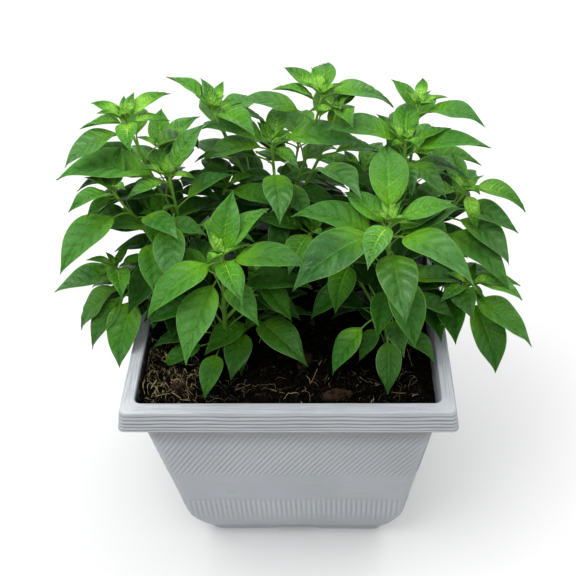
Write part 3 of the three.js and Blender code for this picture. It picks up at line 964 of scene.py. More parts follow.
        points = in_columns(*quarter_turn(x, -(reach + out * np.cos(turn)), side), z).reshape(-1, 3)
        count = len(raised)
        vertices = np.concatenate((points, [points[:count].mean(axis=0)], [points[-count:].mean(axis=0)]))
        # Painted shade darkens the valleys beside the rib, the band under the lip and the right side; a painted
        # highlight lightens the rib's crest.
        painted_shade = band.painted_shade * (1.0 - raised) ** 1.5 * (plain * (swell * 0.9 + 0.1))[:, None]
        painted_shade = painted_shade + self.under_lip_shade(depth)[:, None] + self.right_side_shade(points[:, 0].reshape(x.shape))
        painted_light = raised**2 * (plain * swell * 0.36)[:, None]
        at_centres = (0.0, 0.0)
        tone = in_columns(0.0, 0.3, np.append(painted_shade, at_centres), 1.0 - np.append(painted_light, at_centres))
        place = in_columns(np.append(x, at_centres), np.append(z, at_centres), float(side))
        parts.add(vertices, stack_faces(self.rib_rows, count), tone, place)

    def add_ribs(self, parts: MeshParts) -> None:
        """Add the slanting ribs under the lip and the upright ribs above the foot.

        Args:
            parts: Where the ribs go.
        """
        rng = np.random.default_rng(SEED)
        slants = int(2 * self.top_half / self.slant.pitch)
        uprights = int(2 * self.low_half / self.upright.pitch)
        for side in range(4):
            for index in range(-slants // 2 - 2, slants // 2 + 14):
                bottom = self.slant.bottom + rng.uniform(*self.slant.bottom_jitter)
                top = self.slant.top + rng.uniform(*self.slant.top_jitter)
                self.add_rib(parts, side, (index + 0.5) * self.slant.pitch, self.slant, top, bottom)
            for index in range(-uprights // 2, uprights // 2 + 1):
                top = self.upright.top + rng.uniform(*self.upright.top_jitter)
                bottom = self.upright.bottom + rng.uniform(*self.upright.bottom_jitter)
                self.add_rib(parts, side, index * self.upright.pitch, self.upright, top, bottom)

    def corner_at(self, half: float, zone: Zone) -> float:
        """Return the radius of the corners of a row.

        Args:
            half: Half the row's width.
            zone: The row's zone.

        Returns:
            The radius.
        """
        if half > self.rim_half - 3.0:
            return self.rim_corner
        return self.corner if zone in (Zone.BODY, Zone.BASE) else self.corner - self.wall

    def add_wall(self, parts: MeshParts) -> None:
        """Add the whole wall as one closed sweep.

        Args:
            parts: Where the wall goes.
        """
        rows, places, tones = [], [], []
        deepest = max(deep for _, deep in self.grooves)
        section = self.profile()
        way = 0.0
        for (half, level, zone), before in zip(section, [section[0], *section]):
            ring = square_ring(half, self.corner_at(half, zone), self.side_columns, self.corner_columns)
            depth = self.height - level
            offset, rise, painted_shade = 0.0, 0.0, 0.0
            if zone is Zone.LIP:
                offset = self.groove_relief(ring, depth)
                # Painted shade darkens the lip's grooves by their depth.
                painted_shade = np.clip(-offset / deepest, 0.0, 1.0)
                rise = self.lip_rise(ring, depth)
            elif zone is Zone.BODY:
                offset = self.dents(ring.run, depth, ring.side) + self.foot_relief(depth)
                # Painted shade under the lip and towards the right side.
                painted_shade = self.under_lip_shade(depth) + self.right_side_shade(ring.x)
                rise = self.arch(ring) * max(1.0 - level / self.arch_top, 0.0)
            elif zone is Zone.BASE:
                rise = self.arch(ring) * (1.0 - smooth(12.0, 17.0, self.base_half - half))
            rows.append(in_columns(ring.x + offset * ring.out_x, ring.y + offset * ring.out_y, level + rise))
            way += math.hypot(half - before[0], level - before[1])
            places.append(in_columns(ring.run, way, ring.side))
            dust_and_shade = self.dust_and_shade(ring, level) * (zone is Zone.INSIDE)
            straight = 1.0 - 0.8 * smooth(ring.reach - 8.0, ring.reach + 2.0, np.abs(ring.run))
            # Painted light lightens the rim towards its left end.
            rim_painted_light = self.rim_light_strength * smooth(*self.rim_light_reach, ring.x) * (zone is Zone.RIM)
            tones.append(in_columns(dust_and_shade, GRAIN_OF_ZONE.get(zone, 0.3) * straight, painted_shade, 1.0 - rim_painted_light))
        faces = loop_faces(len(rows), len(rows[0]))
        parts.add(np.concatenate(rows), faces, np.concatenate(tones), np.concatenate(places))

    def add_plate(self, parts: MeshParts) -> None:
        """Add the floor plate in four quarters, each with its drain hole.

        Args:
            parts: Where the plate goes.
        """
        angle = np.linspace(0.0, FULL_TURN, self.drain_columns, endpoint=False)
        heading = np.stack((np.cos(angle), np.sin(angle)), -1)
        bottom, top = 0.3, self.floor - 0.2
        for quarter in ((-1.0, -1.0), (-1.0, 1.0), (1.0, -1.0), (1.0, 1.0)):
            centre = np.array(quarter) * self.drain_offset
            outer_corner = np.array(quarter) * (self.plate_half + self.plate_overlap)
            low = np.minimum(0.0, outer_corner) - centre
            high = np.maximum(0.0, outer_corner) - centre
            with np.errstate(divide="ignore"):
                limits = np.where(heading > 0, high / heading, np.where(heading < 0, low / heading, np.inf))
            edge = centre + heading * limits.min(axis=1, keepdims=True)
            hole = centre + heading * self.drain_radius
            loops = [np.column_stack((flat, np.full(len(flat), level)))
                     for flat, level in ((edge, bottom), (hole, bottom), (hole, top), (edge, top))]
            parts.add(np.concatenate(loops), loop_faces(len(loops), self.drain_columns), (0.1, 0.2, 0.0, 1.0))

    def build(self) -> None:
        """Build and dress the planter."""
        parts = MeshParts()
        self.add_wall(parts)
        self.add_ribs(parts)
        self.add_plate(parts)
        parts.build("planter", self.finish.material("pale_plastic"), Slot.PLANTER, "pot")


@dataclass(frozen=True)
class BarkChip:
    """One bark chip: its node, its middle, size and turn in degrees."""

    node: str
    x: float
    y: float
    length: float
    width: float
    height: float
    turn: float


@dataclass(frozen=True)
class FibreKind:
    """The lengths of one kind of fibre, how much it curls, how high it arches and how rarely it is pale."""

    lengths: Pair
    bend: float
    lift: float
    pale_power: float


@dataclass
class SoilBed:
    """The potting soil with its crumbs, coir fibres, straw bits and bark chips."""

    planter: Planter
    level: float = 230.0
    relief: float = 1.2
    clearance: float = 0.3
    heap: float = 11.0
    cells: int = 158
    skirt_levels: Numbers = (215.0, 150.0, 90.0, 58.0, 40.0, 24.0)
    crumbs: int = 950
    crumb_margin: float = 4.0
    reddish_spots: tuple[tuple[float, float, float], ...] = ((20.0, -8.0, 22.0), (-112.0, -58.0, 13.0))
    fibres: int = 1250
    fibre_steps: int = 9
    nest_fibre: FibreKind = FibreKind((4.0, 20.0), 0.3, 5.0, 2.4)
    front_fibre: FibreKind = FibreKind((4.0, 20.0), 0.14, 3.0, 6.0)
    loose_fibre: FibreKind = FibreKind((1.5, 12.0), 0.14, 3.0, 6.0)
    chips: tuple[BarkChip, ...] = (
        BarkChip("bark_chip_front", 42.0, -104.0, 30.0, 13.0, 7.0, 8.0),
        BarkChip("bark_chip_left", -96.0, -104.0, 17.0, 11.0, 8.0, -35.0),
        BarkChip("bark_chip_middle", 14.0, -64.0, 22.0, 13.0, 8.0, 60.0),
    )
    chip_outline: Numbers = (1.0, 0.82, 0.94, 0.86, 1.0, 0.8, 0.9, 0.84, 1.0)
    chip_columns: int = 48
    chip_rings: tuple[Pair, ...] = (
        (0.0, 0.84), (0.1, 0.9), (0.25, 0.96), (0.4, 1.0), (0.55, 0.97), (0.7, 0.95), (0.82, 0.9),
        (0.9, 0.8), (0.94, 0.62), (0.97, 0.44), (1.0, 0.27), (1.0, 0.1))
    chip_sink: float = 0.35
    straws: tuple[tuple[float, float, float, float], ...] = (
        (24.0, -78.0, 70.0, 30.0), (99.0, -103.0, -12.0, 22.0), (-40.0, -96.0, 25.0, 15.0),
        (62.0, -84.0, 140.0, 17.0), (-12.0, -100.0, 160.0, 19.0), (-100.0, -40.0, 80.0, 24.0),
        (108.0, -60.0, 100.0, 21.0), (40.0, 96.0, 30.0, 26.0), (-107.0, -113.0, 18.0, 13.0),
        (-96.0, -111.0, -34.0, 10.0), (-116.0, -102.0, 66.0, 10.0), (-88.0, -114.0, 8.0, 9.0),
        (-101.0, -106.0, 48.0, 9.0), (-108.0, -74.0, -28.0, 12.0), (-112.0, -58.0, 30.0, 9.0),
    )
    soil_finish: EarthFinish = EarthFinish()
    fibre_finish: EarthFinish = EarthFinish(
        dark=(0.003, 0.0025, 0.0015), brown=(0.026, 0.02, 0.01), straw=(0.64, 0.52, 0.28), coarse=500.0)
    bark_finish: EarthFinish = EarthFinish(dark=(0.004, 0.0025, 0.0018), brown=(0.045, 0.026, 0.017), coarse=520.0)

    def half_at(self, level: float) -> float:
        """Return half the soil's width at a level."""
        return self.planter.half_at(level) - self.planter.wall - self.clearance

    @property
    def half(self) -> float:
        """Return half the soil's width at its surface."""
        return self.half_at(self.level)

    def nest(self, x: Values, y: Values) -> Values:
        """Return how far the clump of fibres at the left reaches each place."""
        return smooth(-70.0, -120.0, x) * smooth(60.0, -10.0, y)

    def ground(self, x: Values, y: Values) -> Values:
        """Return the level of the soil's gentle waves, with the heap under the clump."""
        waves = np.sin(x / 17.0 + 1.0) * np.cos(y / 21.0) + 0.6 * np.sin((x + y) / 9.0)
        return self.level + self.relief * waves + self.heap * self.nest(x, y)

    def top(self, x: Array, y: Array) -> Array:
        """Return the level of the soil's surface, with its crumbly relief.

        Args:
            x: X of the places.
            y: Y of the places.

        Returns:
            The level at each place.
        """
        rough = [noise.fractal(Vector((u / 7.5, v / 7.5, 3.7)), 0.9, 2.1, 4) for u, v in zip(x, y)]
        fine = [noise.noise(Vector((u / 1.9, v / 1.9, 9.1))) for u, v in zip(x, y)]
        crumble = (2.1 + 2.2 * self.nest(x, y)) * np.array(rough) + 0.7 * np.array(fine)
        return self.ground(x, y) + crumble

    def build_bed(self) -> None:
        """Build and dress the soil itself, down to the planter's floor."""
        half = self.half
        straight = half - (self.planter.corner - self.planter.wall - self.clearance)
        line = self.cells + 1
        across = np.linspace(-half, half, line)
        x, y = (axis.ravel().copy() for axis in np.meshgrid(across, across, indexing="xy"))
        past_x = np.maximum(np.abs(x) - straight, 0.0)
        past_y = np.maximum(np.abs(y) - straight, 0.0)
        pull = np.maximum(past_x, past_y) / np.maximum(np.hypot(past_x, past_y), 1e-9)
        x -= np.sign(x) * past_x * (1.0 - pull)
        y -= np.sign(y) * past_y * (1.0 - pull)
        top = np.stack((x, y, self.top(x, y)), -1)
        index = np.arange(line * line).reshape(line, line)
        upper = np.concatenate((index[0, :-1], index[:-1, -1], index[-1, :0:-1], index[:0:-1, 0]))
        edge = top[upper]
        bottom = self.planter.floor + self.clearance
        shells = [top]
        faces = [grid_faces(line, line, closed=False)]
        for number, level in enumerate((*self.skirt_levels, bottom)):
            share = self.half_at(level) / half
            shells.append(in_columns(edge[:, 0] * share, edge[:, 1] * share, level))
            lower = len(top) + number * len(edge) + np.arange(len(edge))
            faces.append(np.stack((upper, lower, np.roll(lower, -1), np.roll(upper, -1)), -1))
            upper = lower
        vertices = np.concatenate((*shells, [[0.0, 0.0, bottom]]))
        after = np.roll(upper, -1)
        faces.append(np.stack((upper, np.full(len(edge), len(vertices) - 1), after, after), -1))
        brown = np.clip(0.1 + 0.4 * np.sin(vertices[:, 0] / 31.0) * np.cos(vertices[:, 1] / 27.0), 0.0, 0.45)
        parts = MeshParts()
        parts.add(vertices, np.concatenate(faces), in_columns(brown, 0.0, 0.0, 1.0))
        parts.build("soil_bed", self.soil_finish.material("potting_soil"), Slot.SOIL, "soil")

    def crumb_shape(self) -> tuple[Array, Array]:
        """Make a plain round crumb.

        Returns:
            Its points and its faces.
        """
        ball = bpy.data.meshes.new("crumb_shape")
        maker = bmesh.new()
        bmesh.ops.create_icosphere(maker, subdivisions=2, radius=1.0)
        maker.to_mesh(ball)
        maker.free()
        points = np.array([vertex.co[:] for vertex in ball.vertices])
        faces = np.array([[*polygon.vertices, polygon.vertices[2]] for polygon in ball.polygons])
        bpy.data.meshes.remove(ball)
        return points, faces

    def build_crumbs(self) -> None:
        """Build and dress the loose crumbs."""
        rng = np.random.default_rng(SEED)
        shape, faces = self.crumb_shape()
        reach = self.half - self.crumb_margin
        x, y = rng.uniform(-reach, reach, self.crumbs), rng.uniform(-reach, reach, self.crumbs)
        parts = MeshParts()
        for place_x, place_y, level in zip(x, y, self.top(x, y)):
            size = 0.8 + 3.2 * rng.random() ** 3
            swing = rng.normal(0.0, 1.6, (3, 3))
            bulge = 1.0 + 0.28 * np.sin(shape @ swing.T + rng.uniform(0, 6, 3)).sum(axis=1)
            scale = size * np.array([1.0, rng.uniform(0.6, 1.0), rng.uniform(0.5, 0.85)])
            turn = Matrix.Rotation(rng.uniform(0, 6.3), 3, "Z")
            body = (shape * bulge[:, None] * scale) @ np.array(turn).T
            reddish = any(math.hypot(place_x - spot_x, place_y - spot_y) < spot_reach
                          for spot_x, spot_y, spot_reach in self.reddish_spots)
            brown = min(1.0, rng.random() ** 2 + 0.7 * reddish)
            straw = 0.06 * float(rng.random() < 0.04) + 0.02 * reddish
            parts.add(body + (place_x, place_y, level + 0.25 * size), faces, (brown, straw, 0.0, 1.0))
        parts.build("soil_crumbs", self.soil_finish.material("soil_crumb"), Slot.SOIL)

    def strand(self, rng: Random, x: float, y: float, length: float, kind: FibreKind) -> Array:
        """Return the middle line of a fibre that lies on the soil.

        Args:
            rng: The source of chance.
            x: Its start's X.
            y: Its start's Y.
            length: Its length.
            kind: How it curls and arches.

        Returns:
            Its points.
        """
        steps = self.fibre_steps
        lift = rng.uniform(0.2, kind.lift)
        heading = rng.uniform(0.0, FULL_TURN)
        curl = rng.normal(0.0, kind.bend)
        turns = heading + np.cumsum(curl + rng.normal(0.0, 0.26, steps))
        reach = self.half - 1.5
        line_x = np.clip(x + np.cumsum(np.cos(turns)) * length / steps, -reach, reach)
        line_y = np.clip(y + np.cumsum(np.sin(turns)) * length / steps, -reach, reach)
        along = np.linspace(0.0, 1.0, steps)
        z = self.top(line_x, line_y) + 0.2 + lift * np.sin(math.pi * along) ** 2
        return np.stack((line_x, line_y, z), -1)

    def add_fibres(self, parts: MeshParts) -> None:
        """Add the coir fibres: a clump at the left, a row along the front, and loose ones.

        Args:
            parts: Where the fibres go.
        """
        rng = np.random.default_rng(SEED + 1)
        reach = self.half - 3.0
        taper = 1.0 - 0.6 * np.linspace(-1.0, 1.0, self.fibre_steps) ** 4
        for index in range(self.fibres):
            if index % 4 == 0:
                kind = self.nest_fibre
                x, y = rng.normal(-100.0, 15.0), rng.normal(-88.0, 20.0)
            elif index % 4 == 1:
                kind = self.front_fibre
                x, y = rng.uniform(-110.0, 110.0), rng.normal(-96.0, 12.0)
            else:
                kind = self.loose_fibre
                x, y = rng.uniform(-118.0, 118.0, 2)
            x, y = np.clip((x, y), -reach, reach).tolist()
            points = self.strand(rng, x, y, rng.uniform(*kind.lengths), kind)
            straw_like = index % 16 == 0
            width = rng.uniform(0.2, 0.42) if straw_like else 0.07 + 0.17 * rng.random() ** 2
            pale = rng.uniform(0.3, 1.0) if straw_like else rng.random() ** kind.pale_power
            vertices, faces = tube(points, width * taper, 3)
            parts.add(vertices, faces, (rng.random(), pale, 0.0, 1.0))

    def add_straws(self, parts: MeshParts) -> None:
        """Add the straw bits, each listed by its middle, its turn and its length.

        Args:
            parts: Where the bits go.
        """
        for x, y, turn, length in self.straws:
            along = np.linspace(-0.5, 0.5, 9) * length
            line_x = x + along * math.cos(math.radians(turn))
            line_y = y + along * math.sin(math.radians(turn))
            z = self.ground(line_x, line_y) + 2.0 + 0.6 * np.sin(along / 4.0)
            radii = np.interp(np.abs(along), [0.0, length / 2], [0.42, 0.26])
            vertices, faces = tube(np.stack((line_x, line_y, z), -1), radii, 7, 0.6)
            parts.add(vertices, faces, (0.8, 0.7 if x < -70.0 else 0.3, 0.0, 1.0))

    def build_chip(self, chip: BarkChip) -> None:
        """Build and dress one bark chip.

        Args:
            chip: The chip's place and size.
        """
        angle = np.linspace(0.0, FULL_TURN, self.chip_columns + 1)[:-1]
        reach = np.interp(angle, np.linspace(0.0, FULL_TURN, len(self.chip_outline)), self.chip_outline)
        bottom = self.ground(chip.x, chip.y) - self.chip_sink * chip.height
        turn = math.radians(chip.turn)
        rings = []
        for level, share in self.chip_rings:
            x = share * reach * chip.length / 2 * np.cos(angle)
            y = share * reach * chip.width / 2 * np.sin(angle)
            grooves = np.abs(np.sin(y * 1.3 + 0.6 * np.sin(x * 0.35))) - 0.5
            steps = np.floor(2.5 * np.sin(x * 0.33 + 1.0) + 0.5) / 3.0
            torn = 0.55 * np.array([noise.noise(Vector((u / 2.3, v / 1.1, level * 4.0))) for u, v in zip(x, y)])
            layers = 1.0 + 0.05 * np.sin(level * 26.0 + angle * 2.0) + 0.05 * torn
            z = bottom + chip.height * level + (1.1 * grooves + 0.9 * steps + torn) * level
            rings.append(in_columns(
                chip.x + layers * (x * math.cos(turn) - y * math.sin(turn)),
                chip.y + layers * (x * math.sin(turn) + y * math.cos(turn)), z))
        vertices = np.concatenate((*rings, [rings[0].mean(axis=0)], [rings[-1].mean(axis=0)]))
        parts = MeshParts()
        parts.add(vertices, stack_faces(len(rings), len(angle)), (0.9, 0.03, 0.0, 1.0))
        name = chip.node.replace("bark_chip", "bark")
        parts.build(name, self.bark_finish.material(name), Slot.BARK, chip.node)

    def build(self) -> None:
        """Build and dress the soil and all that lies on it."""
        self.build_bed()
        self.build_crumbs()
        fibres = MeshParts()
        self.add_fibres(fibres)
        self.add_straws(fibres)
        fibres.build("coir_and_straw", self.fibre_finish.material("coir"), Slot.SOIL)
        for chip in self.chips:
            self.build_chip(chip)


@dataclass(frozen=True)
class Shoot:
    """A leafy shoot: where it starts and ends, and its leaves.

    A leaf is a row of four values: its distance below the shoot's tip, its compass turn in degrees
    from +X, the rise of its blade above level in degrees, and the length of its blade.
    """

    start: Place
    end: Place
    leaves: tuple[LeafRow, ...]

    @property
    def length(self) -> float:
        """Return the straight distance from start to end."""
        return math.dist(self.start, self.end)

    def points(self, shares: Array) -> Array:
        """Return the points at shares of the shoot's way.

        Args:
            shares: Shares from 0 at its start to 1 at its tip.

        Returns:
            The points, one a row.
        """
        start, end = np.array(self.start), np.array(self.end)
        bend = start + (end - start) * (0.6, 0.6, 0.4)
        share = np.asarray(shares, float)[:, None]
        return (1 - share) ** 2 * start + 2 * share * (1 - share) * bend + share**2 * end

    def leaf_root(self, drop: float) -> Array:
        """Return the point where a leaf grows, a drop below the tip."""
        return self.points(np.array([max(1.0 - drop / self.length, 0.0)]))[0]


OUTLINE_AT = np.array((0.0, 0.04, 0.12, 0.22, 0.34, 0.42, 0.52, 0.64, 0.76, 0.86, 0.94, 1.0))
OUTLINE_SLIM = np.array((0.0, 0.13, 0.46, 0.77, 0.96, 1.0, 0.96, 0.78, 0.48, 0.24, 0.085, 0.0))
OUTLINE_ROUND = np.array((0.0, 0.26, 0.72, 0.96, 1.03, 1.0, 0.91, 0.71, 0.44, 0.21, 0.07, 0.0))


def hermite(share: Values, start: Values, start_slope: Values, end: Values, end_slope: Values) -> Values:
    """Return the values at shares of a smooth curve between two ends with their slopes."""
    return ((1 + 2 * share) * (1 - share) ** 2 * start + share * (1 - share) ** 2 * start_slope
            + share**2 * (3 - 2 * share) * end + share**2 * (share - 1) * end_slope)


def outline(along: Array, roundness: float) -> Array:
    """Return the blade's width, as a share of its widest, through smooth curves.

    Args:
        along: Places along the blade, from 0 at its base to 1 at its tip.
        roundness: How far it goes from the slim outline, 0, to the round one, 1.

    Returns:
        The shares.
    """
    width = (1.0 - roundness) * OUTLINE_SLIM + roundness * OUTLINE_ROUND
    slope = np.gradient(width, OUTLINE_AT)
    index = np.clip(np.searchsorted(OUTLINE_AT, along, side="right") - 1, 0, len(OUTLINE_AT) - 2)
    gap = OUTLINE_AT[index + 1] - OUTLINE_AT[index]
    share = (along - OUTLINE_AT[index]) / gap
    return hermite(share, width[index], gap * slope[index], width[index + 1], gap * slope[index + 1])


@dataclass(frozen=True)
class Grid:
    """How finely a leaf's blade and petiole are meshed."""

    rows: int
    columns: int
    stalk_rings: int
    rib_rings: int
    sides: int


class Detail(Enum):
    """The choices of mesh for a leaf."""

    LARGE = Grid(32, 15, 8, 8, 6)
    MIDDLE = Grid(25, 13, 7, 7, 6)
    SMALL = Grid(16, 11, 5, 5, 5)
    INNER = Grid(15, 9, 5, 5, 4)
    BUD = Grid(9, 7, 3, 3, 4)


def detail_for(length: float) -> Detail:
    """Return the mesh that suits a blade's length.

    Args:
        length: The length.

    Returns:
        The choice.
    """
    if length > 42:
        return Detail.LARGE
    return Detail.MIDDLE if length > 24 else Detail.SMALL


@dataclass
class Leaf:
    """One leaf: blade, midrib and petiole. Its turn and rise are in degrees.

    Its drop is how far below its shoot's tip it grows, and veins is how many side veins each half has.
    """

    root: Array
    drop: float
    turn: float
    rise: float
    length: float
    rng: Random
    detail: Detail
    veins: int = 7
    thickness: float = 0.42
    groove_width: float = 0.9
    edge_column: float = 0.965
    petiole_start: float = 66.0
    hairs: int = 12
    least_inner_shade: float = 0.65

    def __post_init__(self) -> None:
        """Work out the leaf's age and its own small differences."""
        small = 1.0 - (self.length - 26.0) / 56.0
        self.luck = self.rng.uniform(0.0, 1.0)
        self.age = float(np.clip((0.86 + 0.4 * self.luck) * math.exp(-self.drop / 13.0) * small, 0.0, 1.0))
        # Painted shade: the lower a leaf grows on its shoot, the darker it is painted; inner leaves get at least some.
        self.low = float(smooth(18.0, 95.0, self.drop))
        if self.detail is Detail.INNER:
            self.low = max(self.low, self.least_inner_shade)
        self.roundness = self.rng.uniform(0.0, 1.0) if self.detail is not Detail.BUD else 0.0
        self.twist = math.radians(self.rng.uniform(-20.0, 20.0))
        self.swerve = math.radians(self.rng.uniform(-20.0, 20.0))
        self.cup = 0.3 + 0.18 * self.age + self.rng.uniform(-0.1, 0.14)
        self.wave = self.rng.uniform(0.3, 1.2)
        self.phase = self.rng.uniform(0.0, 6.3)
        self.sag = 18.0 + 0.5 * self.length
        self.half_width = self.length / 2 * (0.40 + 0.07 * np.clip((self.length - 16.0) / 34.0, 0.0, 1.0))
        self.petiole_length = self.length * (0.18 + 0.4 * min(self.drop / 90.0, 1.0))
        petiole_rise = (55.0 + self.rise + self.sag / 2) / 2
        self.base = self.root + self.petiole_length * self.heading(petiole_rise)

    def heading(self, rise: float) -> Array:
        """Return the leaf's direction at a rise in degrees."""
        turn, up = math.radians(self.turn), math.radians(rise)
        return np.array([math.cos(up) * math.cos(turn), math.cos(up) * math.sin(turn), math.sin(up)])

    def frames(self, along: Array) -> tuple[Array, Array, Array]:
        """Return the blade's middle line with its sideways and upward directions.

        Args:
            along: Places along the blade.

        Returns:
            Points, sideways directions and upward directions.
        """
        fine = np.linspace(0.0, 1.0, 81)
        middle = (fine[1:] + fine[:-1]) / 2
        rise = np.radians(self.rise + self.sag * (0.5 - middle) + 4.0 * np.sin(3.0 * middle + self.phase))
        course = math.radians(self.turn) + self.swerve * (middle - 0.5)
        step = np.stack((np.cos(rise) * np.cos(course), np.cos(rise) * np.sin(course), np.sin(rise)), -1)
        line = np.concatenate((self.base[None], self.base + np.cumsum(step, axis=0) * self.length / len(middle)))
        points = np.stack([np.interp(along, fine, column) for column in line.T], -1)
        ahead = np.stack([np.interp(along, middle, column) for column in step.T], -1)
        ahead /= np.linalg.norm(ahead, axis=1, keepdims=True)
        left = np.cross([0.0, 0.0, 1.0], ahead)
        left /= np.linalg.norm(left, axis=1, keepdims=True)
        up = np.cross(ahead, left)
        roll = (self.twist * along)[:, None]
        return points, left * np.cos(roll) + up * np.sin(roll), up * np.cos(roll) - left * np.sin(roll)

    def relief(self, across: Array, along: Array, half: Array) -> tuple[Array, Array]:
        """Return the blade's height over its middle line and its turn between the veins.

        Args:
            across: Places across the blade, from -1 to 1.
            along: Places along it.
            half: Half its width there.

        Returns:
            The height and the vein turn, which passes a whole number at each side vein.
        """
        edge = np.abs(across)
        turn = self.veins * (along - 0.13 * edge - 0.07 * edge**2) + 0.4 * (across > 0)
        bulge = np.abs(np.sin(math.pi * turn)) ** 0.7
        window = smooth(0.02, 0.22, edge) * (1.0 - smooth(0.72, 1.0, edge)) * smooth(0.0, 0.1, along)
        window *= 1.0 - smooth(0.8, 1.0, along)
        deep = self.length * (0.018 + 0.012 * self.age)
        groove = bump_at(across * half, 0.0, self.groove_width) * min(self.length / 75.0, 0.6)
        ripple = self.wave * 0.075 * half * edge**3 * np.sin(11.0 * along + self.phase + 1.3 * np.sign(across))
        lift = self.cup * half * (1.22 * edge - 0.32 * edge**3)
        slope = np.sin(7.0 * along + 2.0 * across + self.phase) * np.sin(4.0 * across + 3.0 * self.phase)
        return lift + deep * bulge * window - groove + ripple + 0.012 * self.length * slope * edge, turn

    def add_blade(self, parts: MeshParts) -> None:
        """Add the blade as a thin closed shell.

        Args:
            parts: Where the shell goes.
        """
        rows, columns = self.detail.value.rows, self.detail.value.columns
        along = np.linspace(0.006, 0.992, rows)
        spread = np.linspace(-1.0, 1.0, columns - 2)
        spread = np.concatenate(([-1.0], self.edge_column * np.sign(spread) * np.abs(spread) ** 1.08, [1.0]))
        across = np.tile(np.concatenate((spread, spread[-2:0:-1])), (rows, 1))
        under = np.concatenate((np.zeros(columns), np.ones(columns - 2)))
        count = len(under)
        points, left, up = self.frames(along)
        length_way = np.repeat(along[:, None], count, axis=1)
        half = self.half_width * outline(along, self.roundness)[:, None]
        height, turn = self.relief(across, length_way, half)
        height = height - under * self.thickness * (1.0 - 0.8 * across**4)
        blade = points[:, None] + left[:, None] * (across * half)[..., None] + up[:, None] * height[..., None]
        vertices = np.concatenate((blade.reshape(-1, 3), self.base[None], self.frames(np.array([1.0]))[0]))
        place = np.concatenate((
            in_columns(across, turn, length_way).reshape(-1, 3), [[0.0, 0.0, 0.0], [0.0, self.veins, 1.0]]))
        tone = in_columns(self.age, self.luck, np.append(np.tile(under, rows), (0.0, 0.0)), self.low)
        parts.add(vertices, stack_faces(rows, count), tone, place)

    def add_petiole(self, parts: MeshParts) -> None:
        """Add the petiole, which runs on under the blade as its midrib.

        Args:
            parts: Where the tube goes.
        """
        grid = self.detail.value
        share = np.linspace(0.0, 1.0, grid.stalk_rings)
        points, _, up = self.frames(np.array([0.0, 0.02]))
        stalk = hermite(
            share[:, None], self.root, self.petiole_length * self.heading(self.petiole_start),
            self.base - 0.7 * up[0], self.petiole_length * unit(points[1] - points[0]))
        along = np.linspace(0.05, 0.93, grid.rib_rings)
        line, _, upward = self.frames(along)
        girth = np.clip(self.length / 60.0, 0.45, 1.1)
        stalk_radii = girth * np.interp(share, [0.0, 0.12, 0.5, 1.0], [1.45, 1.05, 0.85, 0.85])
        rib_radii = girth * np.interp(along, [0.0, 0.3, 1.0], [0.8, 0.55, 0.12])
        rib = line - upward * (self.thickness + 0.35 + 0.35 * rib_radii)[:, None]
        vertices, faces = tube(
            np.concatenate((stalk, rib)), np.concatenate((stalk_radii, rib_radii)), grid.sides, 0.92)
        around = np.arange(len(vertices)) % grid.sides / grid.sides
        place = in_columns(around, np.linalg.norm(vertices - self.root, axis=1), 0.0)
        parts.add(vertices, faces, (0.35 + 0.65 * self.age, self.luck, 0.0, 1.0), place)
        if self.drop < 30 and self.detail in (Detail.LARGE, Detail.MIDDLE):
            add_hairs(parts, self.rng, stalk, stalk_radii, self.hairs)

    def skeleton(self) -> tuple[Array, Array]:
        """Return a coarse copy of the blade, to see what it would touch.

        Returns:
            Its points and its faces.
        """
        along = np.linspace(0.02, 0.97, 8)
        points, left, up = self.frames(along)
        half = (self.half_width * outline(along, self.roundness))[:, None]
        lift = up * half * self.cup
        rows = np.stack((points + left * half + lift, points, points - left * half + lift), 1)
        return rows.reshape(-1, 3), grid_faces(len(along), 3, closed=False)


def add_hairs(parts: MeshParts, rng: Random, points: Array, radii: Array, count: int) -> None:
    """Add fine hairs that stand out from a stalk.

    Args:
        parts: Where the hairs go.
        rng: The source of chance.
        points: The stalk's middle line.
        radii: Its radius at each point.
        count: How many hairs it has.
    """
    faces = np.array([[0, 1, 2, 2], [0, 3, 1, 1], [1, 3, 2, 2], [2, 3, 0, 0]])
    for _ in range(count):
        spot = rng.uniform(0.3, len(points) - 1.3)
        index = int(spot)
        centre = points[index] + (points[index + 1] - points[index]) * (spot - index)
        ahead = unit(points[index + 1] - points[index])
        out = unit(np.cross(ahead, rng.normal(0.0, 1.0, 3)))
        side = np.cross(ahead, out)
        foot = centre + out * radii[index] * 0.9
        end = foot + out * rng.uniform(0.7, 1.3) + ahead * rng.uniform(-0.2, 0.5)
        low = foot - side * 0.035
        vertices = np.stack((foot + side * 0.07, low + ahead * 0.06, low - ahead * 0.06, end))
        parts.add(vertices, faces, (1.0, 0.5, 0.0, 1.0))


def touch_tree(points: Array, faces: Array) -> BVHTree:
    """Return the search tree of a mesh."""
    return BVHTree.FromPolygons(points.tolist(), faces.tolist())


